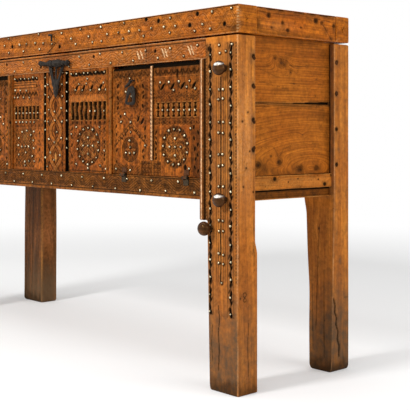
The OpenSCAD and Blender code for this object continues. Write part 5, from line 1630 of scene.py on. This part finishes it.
def roundBead(name, x0, x1, z0, z1, yFoot, proud, back, twist=0.0, seed=1, flat=1.0):
    levels = levelsOf(z0, z1, bead["ropeCell"] if twist else bead["cell"])
    t = np.linspace(0, math.pi, 25)
    mid, half = (x0 + x1) / 2, (x1 - x0) / 2
    # a bead section: x = mid - half cos t, y = foot - proud sin t, then a straight back
    xs = np.concatenate([mid - half * np.cos(t), [x1, x0]])
    ys = np.concatenate([yFoot - proud * np.sin(t) ** flat, [back, back]])
    m, n = len(levels), len(xs)
    z, x = np.meshgrid(levels, xs, indexing="ij")
    y = np.broadcast_to(ys, (m, n)).copy()
    nose = np.concatenate([np.sin(t), [0, 0]])
    shade = np.zeros((m, n))
    if twist:
        turns = (z + (x - mid) * 0.9) * math.tau / twist
        cutIn = (0.5 - 0.5 * np.cos(turns)) ** 2 * nose
        y += cutIn * proud * bead["ropeIn"]
        # painted shade in the twist's grooves
        shade = cutIn * 0.6
    y += 0.35 * nose * (1 + uneven(x, z, seed, 60))
    # painted highlight: a pale line along the nose, of this width
    wide = bead["ropeWornAndLit"] if twist else bead["wornAndLit"]
    line = np.exp(-((np.concatenate([t, [0, 0]]) - 1.8) / wide) ** 2)
    wear = line * (1 - 0.6 * shade) * (1.3 + 0.8 * uneven(x * 0, z, seed + 1, 40))
    fromEnd = np.minimum(levels - z0, z1 - levels)[:, None]
    y += nose * proud * 0.5 * np.clip(1 - fromEnd / 2.5, 0, 1)
    # painted shade at the feet where the bead meets the board, in the shade and the dirt film, lighter
    # on the far side; the film also has random smudges
    foot = np.clip(1 - nose * 1.5, 0, 1)
    farSide = np.concatenate([t > 2, [True, False]])
    shade = np.maximum(shade, smooth(1.5 - 2.0 * nose) * np.where(farSide, 0.5, 0.9))
    film = np.maximum(foot, 0.3 * smooth(uneven(x * 0, z, seed + 3, 50) * 2))
    values = {"shade": shade, "wear": np.clip(wear, 0, 1), "knot": 0 * shade, "grime": film}
    uv = np.stack([z, x + y], -1).reshape(-1, 2)
    caps = [list(range(n)), list(range((m - 1) * n, m * n))[::-1]]
    return addMesh(name, np.stack([x, y, z], -1), ringFaces(m, n), caps, values, uv)


for sideName, way in bothEnds:
    low, high = corners("baton_" + sideName)
    settle(roundBead("baton_worn_" + sideName, low[0] + 0.3, high[0] - 0.3, low[2], high[2],
                     frontY, frontY - low[1], high[1], seed=91 + way, flat=0.7),
           "root", "pine", beadPine, "baton_" + sideName)

for name, node, body, seed in (("door_rope_carved", "door_rope_bead", "door", 95),
                               ("rope_carved_left", "rope_bead_left", "root", 96)):
    low, high = corners(node)
    settle(roundBead(name, low[0], high[0], low[2], high[2], high[1] - 1.5,
                     high[1] - low[1] - 1.5, high[1], twist=bead["twist"], seed=seed),
           body, "pine", beadPine, node)


# The stiles: a flat strip, a dark quirk and a round bead along the door, with a painted highlight on its
# nose
stile = {
    "bead": 297.0, "half": 7.5, "hole": (-6, 742, 5),
    "stains": [(-2, 745, 8, 9, 0.7), (-8, 620, 14, 60, 0.4), (-8, 830, 10, 50, 0.3)],
}
stile["stains"] += [(-2, level, 7, 6, 0.5) for level in row(660, 31, 8)]


def stileFace(work, x, z):
    v = stile
    u = np.abs(x) - v["bead"]
    flat = smooth(0.5 - u - v["half"])
    work.cut(flat, 4.5, 0.0)
    work.cut(np.clip(np.abs(u) / v["half"], 0, 1) ** 2.5 * (1 - flat), 3.8, 0.0)
    work.lines(u, [-v["half"] - 0.5], 3.4, 6.0, 0.9)
    work.lines(u, [v["half"]], 5, 5.0, 1.0)
    # painted highlight along the bead's nose
    work.polishAndHighlight(np.exp(-((u - 2.5) / 1.6) ** 2), 0.35)
    work.ground(np.ones(x.shape), 0, 0.25)
    work.stains(u, z, v["stains"])
    work.holes(u, z, [v["hole"]], 6, 0.95, 1.3)


for sideName, way in bothEnds:
    span = (stileLow, stileHigh) if way > 0 else (-stileHigh, -stileLow)
    frontBoard("stile_" + sideName, "root", "pine", panelPine, stileFace, 97 + way, cell=1.4,
               span=span)
print("beads and stiles made")


# Stud places (x, z) set at a depth y
def placed(pairs, y):
    return [(x, y, z) for x, z in pairs]


def otherSide(pairs):
    return [(-x, z) for x, z in pairs]


# How far a stud head's foot lies behind the front of the posts, in millimetres
studFoot = {"lid": 0, "frame": 0.4, "bridge": 1.5, "door": 2.5, "panel": 3.5}

doorPairs = doorInner["studs"] + doorOuter["studs"]
panelPairs = panelRight["studs"] + panelLeft["studs"] + otherSide(doorPairs)
framePairs = topRail["studs"] + bottomRail["studs"] + muntin["studs"]
postPairs = post["studs"] + otherSide(post["studs"])
studGroups = (
    ("lid_stud_heads", placed(lidFront["studs"], frontY + studFoot["lid"]), "lid", "lid_studs"),
    ("frame_stud_heads", placed(framePairs, frontY + studFoot["frame"])
     + placed(muntin["bridges"], frontY + studFoot["bridge"]), "root", "frame_studs"),
    ("post_stud_heads", placed(postPairs, frontY + studFoot["frame"]), "root", "post_studs"),
    ("door_stud_heads", placed(doorPairs, frontY + studFoot["door"]), "door", "door_studs"),
    ("panel_stud_heads", placed(panelPairs, frontY + studFoot["panel"]), "root", "panel_studs"),
)
for number, (name, places, body, node) in enumerate(studGroups):
    settle(domes(name, places, number + 1), body, "studs", studMetal, node)
print("studs made")


# Lathed pieces: a profile (radius, reach) turned round an axis towards the viewer
def turned(profile, cx, y0, cz, wobble, seed, steps=40):
    turn = np.arange(steps) * math.tau / steps
    r = profile[:, :1] * (1 + wobble * np.sin(turn * 2 + seed))
    return np.stack([cx + r * np.cos(turn), y0 - profile[:, 1:] + 0 * r, cz + r * np.sin(turn)], -1)


# Knobs: places are (in from the chest's end, height)
knob = {
    "radius": 20.0, "reach": 35.6, "neck": 9.0, "wobble": 0.012,
    "places": ((52, headZ - 31), (52, sillZ - 54), (112, 443)),
    "highlitKnobs": 2, "highlight": (4, 10.5, 14, 4.4),  # painted highlight on the first knobs' caps: outward, up, half width and height
}


def knobProfile():
    v = knob
    # neck, then a flaring cap: radius follows a quarter sine out and a half ellipse over
    t = np.linspace(0, 1, 9)
    neck = np.stack([v["neck"] + 0.9 * np.cos(t * math.pi * 4), -0.5 + t * v["reach"] * 0.3], -1)
    flare = np.stack([v["neck"] + 1 + (v["radius"] - v["neck"] - 1) * np.sin(t * math.pi / 2),
                      v["reach"] * (0.3 + 0.26 * t ** 1.6)], -1)[1:]
    over = np.linspace(0.06, 1, 14) * math.pi / 2
    cap = np.stack([v["radius"] * np.cos(over) ** 0.8,
                    v["reach"] * (0.56 + 0.44 * np.sin(over))], -1)
    cap[-1, 0] = 0.4
    return np.concatenate([neck, flare, cap])


def addKnobs(node):
    v = knob
    way = 1 if corners(node)[0][0] > 0 else -1
    places = [(way * (endX - inward), z) for inward, z in v["places"]]
    parts = [turned(knobProfile(), x, frontY, z, v["wobble"], number)
             for number, (x, z) in enumerate(places)]
    verts = np.concatenate([part.reshape(-1, 3) for part in parts])
    zero = np.zeros(len(verts))
    # painted shade on the neck, near the post
    shade = smooth((verts[:, 1] - frontY + 9) / 9) * 0.5
    wear = zero
    # painted highlight: a near-white spot on the top of the first knobs' caps
    outward, up, wide, high = v["highlight"]
    for x, z in places[:v["highlitKnobs"]]:
        spot = ((verts[:, 0] - x - way * outward) / wide) ** 2 + ((verts[:, 2] - z - up) / high) ** 2
        wear = np.maximum(wear, smooth(1.2 - spot) * (verts[:, 1] < frontY - 16))
    piece = joinRings(node + "_turned", [(part, False) for part in parts],
                      {"shade": shade, "wear": wear, "knot": zero, "grime": zero}, verts[:, 1:])
    settle(piece, "root", "knob_wood", knobWood, node)


addKnobs("knobs_right")
addKnobs("knobs_left")
print("knobs made")


# Forged bars: a round section of varying radius carried along a path of points
def forged(path, radius, steps=12, flat=1.0, closed=False, normal=(0, 1, 0)):
    path = np.asarray(path, float)
    radius = np.broadcast_to(np.asarray(radius, float), (len(path),))
    if closed:
        ahead = np.roll(path, -1, 0) - np.roll(path, 1, 0)
    else:
        ahead = np.gradient(path, axis=0)
    ahead /= np.linalg.norm(ahead, axis=1, keepdims=True)
    side = np.cross(ahead, np.asarray(normal, float))
    side /= np.maximum(np.linalg.norm(side, axis=1, keepdims=True), 1e-6)
    up = np.cross(side, ahead)
    turn = np.arange(steps) * math.tau / steps
    ringPoints = (side[:, None] * np.cos(turn)[None, :, None]
                  + up[:, None] * flat * np.sin(turn)[None, :, None])
    return path[:, None] + ringPoints * radius[:, None, None]


# A path from its three coordinates, each an array or one number
def pathOf(x, y, z):
    return np.stack(np.broadcast_arrays(x, y, z), -1)


# Points read between the rows of a list, at places counted in rows
def alongRows(t, rows):
    return np.stack([np.interp(t, np.arange(len(rows)), rows[:, k]) for k in range(3)], -1)


# The pull: a flat stirrup, each point (across, height, radius) from the middle of its box
pull = {
    "points": [(-2, 7, 9.5), (14, 7, 10.5), (18, -14, 8.5), (20, -34, 6.5), (2, -36, 4.0),
               (-20, -34, 4.5), (-12, -14, 6.0)],
    "lug": [(-20, 15, 3.6), (-8, 21, 5.0), (6, 31, 4.0)],
    "flat": 0.42, "stapleHalf": 8, "stapleRadius": 2.6,
}


def addPull():
    v = pull
    low, high = corners("drop_pull")
    cx, y, cz = (low + high) / 2
    # the closed line through the points, rounded by averaging along it
    points = np.array(v["points"] + v["points"][:1], float)
    line = alongRows(np.linspace(0, len(points) - 1, 84, endpoint=False), points)
    for _ in range(6):
        line = (np.roll(line, 1, 0) + line + np.roll(line, -1, 0)) / 3
    loop = forged(pathOf(cx + line[:, 0], y, cz + line[:, 1]), line[:, 2], 14, v["flat"], True)
    lug = alongRows(np.linspace(0, 2, 14), np.array(v["lug"], float))
    arm = forged(pathOf(cx + lug[:, 0], y - 1, cz + lug[:, 1]), lug[:, 2], 12, 0.9)
    settle(joinRings("pull_forged", [(loop, True), (arm, False)]),
           "pull", "iron", ironMetal, "drop_pull")

    low, high = corners("pull_staple")
    t = np.linspace(0, math.pi, 20)
    foot, r = high[1] + 2, v["stapleRadius"]
    arch = pathOf(cx - v["stapleHalf"] * np.cos(t),
                  foot - (foot - low[1] - 2.5) * np.sin(t) ** 0.5, high[2] - 2.5)
    settle(joinRings("pull_staple_forged", [(forged(arch, r, 10, normal=(0, 0, 1)), False)]),
           "door", "iron", ironMetal, "pull_staple")


addPull()

# The hasp: a thin bar with a knob at each end and a swelling inside it, a sleeve on it, and
# three flat prongs (top, width) that close to one blade
hasp = {
    "barRadius": 5.4, "knob": (0.88, 0.075, 4.6), "swelling": (0.66, 0.05, 2.3),
    "footAt": 0.72, "footRadius": 5.5, "sleeveHalf": 44, "sleeveRadius": 10.5,
    "prongs": ((-38.0, 8.5), (0.0, 5.0), (38.0, 6.5)), "bladeLength": 61.5, "bladeHalf": 11,
}


def haspBar():
    v = hasp
    low, high = corners("hasp_bar")
    cx, cz = (low[0] + high[0]) / 2, (low[2] + high[2]) / 2
    y = low[1] + 12
    s = np.linspace(-1, 1, 90)
    half = (high[0] - low[0]) / 2
    radius = v["barRadius"] + 1.15 * np.sin(23 * s) + 0.92 * np.sin(41 * s + 1)
    for place, wide, more in (v["knob"], v["swelling"]):
        radius = radius + more * np.exp(-((np.abs(s) - place) / wide) ** 2)
    radius = radius * np.sqrt(np.clip(1 - np.abs(s) ** 40, 0.02, 1))
    bar = forged(pathOf(cx + half * s, y, cz + 1 - 2.0 * s + 1.5 * np.sin(s * 5)), radius, 16)
    parts = [(bar, False)]
    for side in (-1, 1):
        path = pathOf(cx + side * half * v["footAt"], np.linspace(y, frontY + 1.5, 6), cz)
        parts.append((forged(path, v["footRadius"], 12, normal=(0, 0, 1)), False))
    settle(joinRings("hasp_bar_forged", parts), "root", "iron", ironMetal, "hasp_bar")
    return cx, y, cz


def haspTongue(cx, y, cz):
    v = hasp
    low = corners("hasp_tongue")[0]
    s = np.linspace(-1, 1, 60)
    rough = 1.1 * np.sin(17 * s) + 0.9 * np.sin(31 * s + 2) + 3.0 * np.exp(-((s - 0.35) / 0.2) ** 2)
    sleeve = forged(pathOf(cx + 6 + v["sleeveHalf"] * s, y, cz - 2 * s),
                    (v["sleeveRadius"] + rough) * np.sqrt(np.clip(1 - np.abs(s) ** 10, 0.12, 1)), 20)
    parts = [(sleeve, False)]
    t = np.linspace(0, 1, 40)
    for top, wide in v["prongs"]:
        path = pathOf(cx + 6 + top * (1 - t) ** 1.15 - 4 * t, y + 6.5 - 1.5 * np.sin(t * math.pi),
                      cz - 6 - (cz - low[2] - 12) * t)
        width = wide * (1 - 0.3 * t + 0.12 * np.sin(14 * t + top))
        parts.append((forged(path, width, 12, 0.5), False))
    tip = np.linspace(0, 1, 24)
    path = pathOf(cx + 4 - 2 * tip, y + 6, low[2] + 0.5 + v["bladeLength"] * (1 - tip))
    width = 5 + v["bladeHalf"] * np.sin(math.pi * np.clip(0.12 + 0.75 * tip, 0, 1)) ** 1.2
    width = width * np.sqrt(np.clip(1 - tip ** 4, 0.02, 1))
    parts.append((forged(path, width, 14, 0.35), False))
    settle(joinRings("hasp_tongue_forged", parts), "hasp", "iron", ironMetal, "hasp_tongue")


haspTongue(*haspBar())

lidStaple = {"radius": 3.6, "thinner": 0.8, "reach": 15, "aside": 15, "drop": 21}


def addLidStaple():
    v = lidStaple
    low, high = corners("lid_staple")
    t = np.linspace(0, 1, 40)
    path = pathOf(low[0] + 4 + v["aside"] * smooth((t - 0.3) / 0.35),
                  frontY + 3 - v["reach"] * smooth(t / 0.3),
                  high[2] - 5 - v["drop"] * smooth((t - 0.55) / 0.45))
    bent = forged(path, v["radius"] - v["thinner"] * t, 10, normal=(0.3, 0.2, 1))
    settle(joinRings("lid_staple_forged", [(bent, False)]), "lid", "iron", ironMetal, "lid_staple")


addLidStaple()
print("iron made")

# CAD pieces that keep their shape get the finishes made above
kept = {
    backPine: ["floor_board_front", "floor_board_middle", "floor_board_rear", "floor_battens",
               "door_cleats", "lid_battens"],
    shadePaintedPine: ["door_stop"],
    pegWood: ["joint_pegs"],
    oliveMetal: ["door_hinge_eyes"],
    rustMetal: ["door_hinge_straps"],
    ironMetal: ["door_hinge_pins", "lid_hinge_lower_leaves", "lid_hinge_upper_leaves", "lid_hinge_pins"],
}
for material, nodes in kept.items():
    for node in nodes:
        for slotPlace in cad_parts[node].material_slots:
            slotPlace.material = material


# The floor fades to white between two distances; a lamp is (name, place, target, size, watts)
studio = {
    "floor": 9.0, "fade": (1.2, 4.5), "paper": 0.22, "world": 0.48,
    "lamps": (("rightBox", (4.6, 1.0, 2.0), (0.6, 0, 0.6), (3.0, 2.4), 86.0),
              ("keyBox", (0.2, -4.7, 3.2), (0.2, 0, 0.5), (0.9, 0.9), 200.0),
              ("topBox", (0.2, -0.6, 3.6), (0.2, 0, 0), (3.0, 2.0), 38.0)),
}


def addFloor():
    s = studio["floor"]
    mesh = bpy.data.meshes.new("floor")
    mesh.from_pydata([(-s, -s, 0), (s, -s, 0), (s, s, 0), (-s, s, 0)], [], [(0, 1, 2, 3)])
    floor = bpy.data.objects.new("floor", mesh)
    bpy.context.scene.collection.objects.link(floor)
    material, tree, shader = newMaterial("paleFloor")
    shader.inputs["Base Color"].default_value = (0.95, 0.95, 0.945, 1)
    shader.inputs["Roughness"].default_value = 0.75
    place = addNode(tree, "ShaderNodeTexCoord").outputs["Object"]
    reach = addNode(tree, "ShaderNodeVectorMath", {"operation": "LENGTH"}, i0=place).outputs["Value"]
    near, far = studio["fade"]
    fade = addNode(tree, "ShaderNodeMapRange", {"interpolation_type": "SMOOTHSTEP"}, i0=reach,
                   i1=near, i2=far)
    seen = addNode(tree, "ShaderNodeLightPath").outputs["Is Camera Ray"]
    white = addNode(tree, "ShaderNodeEmission", None, Color=(1, 1, 1, 1), Strength=1.0)
    pale = maths(tree, "MAXIMUM", fade.outputs[0], studio["paper"])
    mix = addNode(tree, "ShaderNodeMixShader", None, i0=times(tree, pale, seen),
                  i1=shader.outputs[0], i2=white.outputs[0])
    out = next(n for n in tree.nodes if n.type == "OUTPUT_MATERIAL")
    tree.links.new(mix.outputs[0], out.inputs[0])
    mesh.materials.append(material)


# White where it is seen, dimmer where it lights
def addWorld():
    world = bpy.data.worlds.new("studio")
    bpy.context.scene.world = world
    world.use_nodes = True
    tree = world.node_tree
    tree.nodes.clear()
    path = addNode(tree, "ShaderNodeLightPath")
    seen = path.outputs["Is Camera Ray"]
    for ray in ("Is Glossy Ray", "Is Transmission Ray"):
        seen = maths(tree, "MAXIMUM", seen, path.outputs[ray])
    plain, white = (addNode(tree, "ShaderNodeBackground", None, Color=(1, 1, 1, 1),
                            Strength=strength).outputs[0] for strength in (studio["world"], 1.0))
    mix = addNode(tree, "ShaderNodeMixShader", None, i0=seen, i1=plain, i2=white)
    out = addNode(tree, "ShaderNodeOutputWorld")
    tree.links.new(mix.outputs[0], out.inputs[0])


def addLamp(name, place, target, size, power):
    data = bpy.data.lights.new(name, "AREA")
    data.shape = "RECTANGLE"
    data.size, data.size_y = size
    data.energy = power
    lamp = bpy.data.objects.new(name, data)
    lamp.location = place
    way = np.array(target, float) - np.array(place, float)
    flat = math.hypot(way[0], way[1])
    lamp.rotation_euler = (math.atan2(flat, -way[2]), 0, math.atan2(way[1], way[0]) - math.pi / 2)
    bpy.context.scene.collection.objects.link(lamp)


addFloor()
addWorld()
for lamp in studio["lamps"]:
    addLamp(*lamp)
print("studio made")
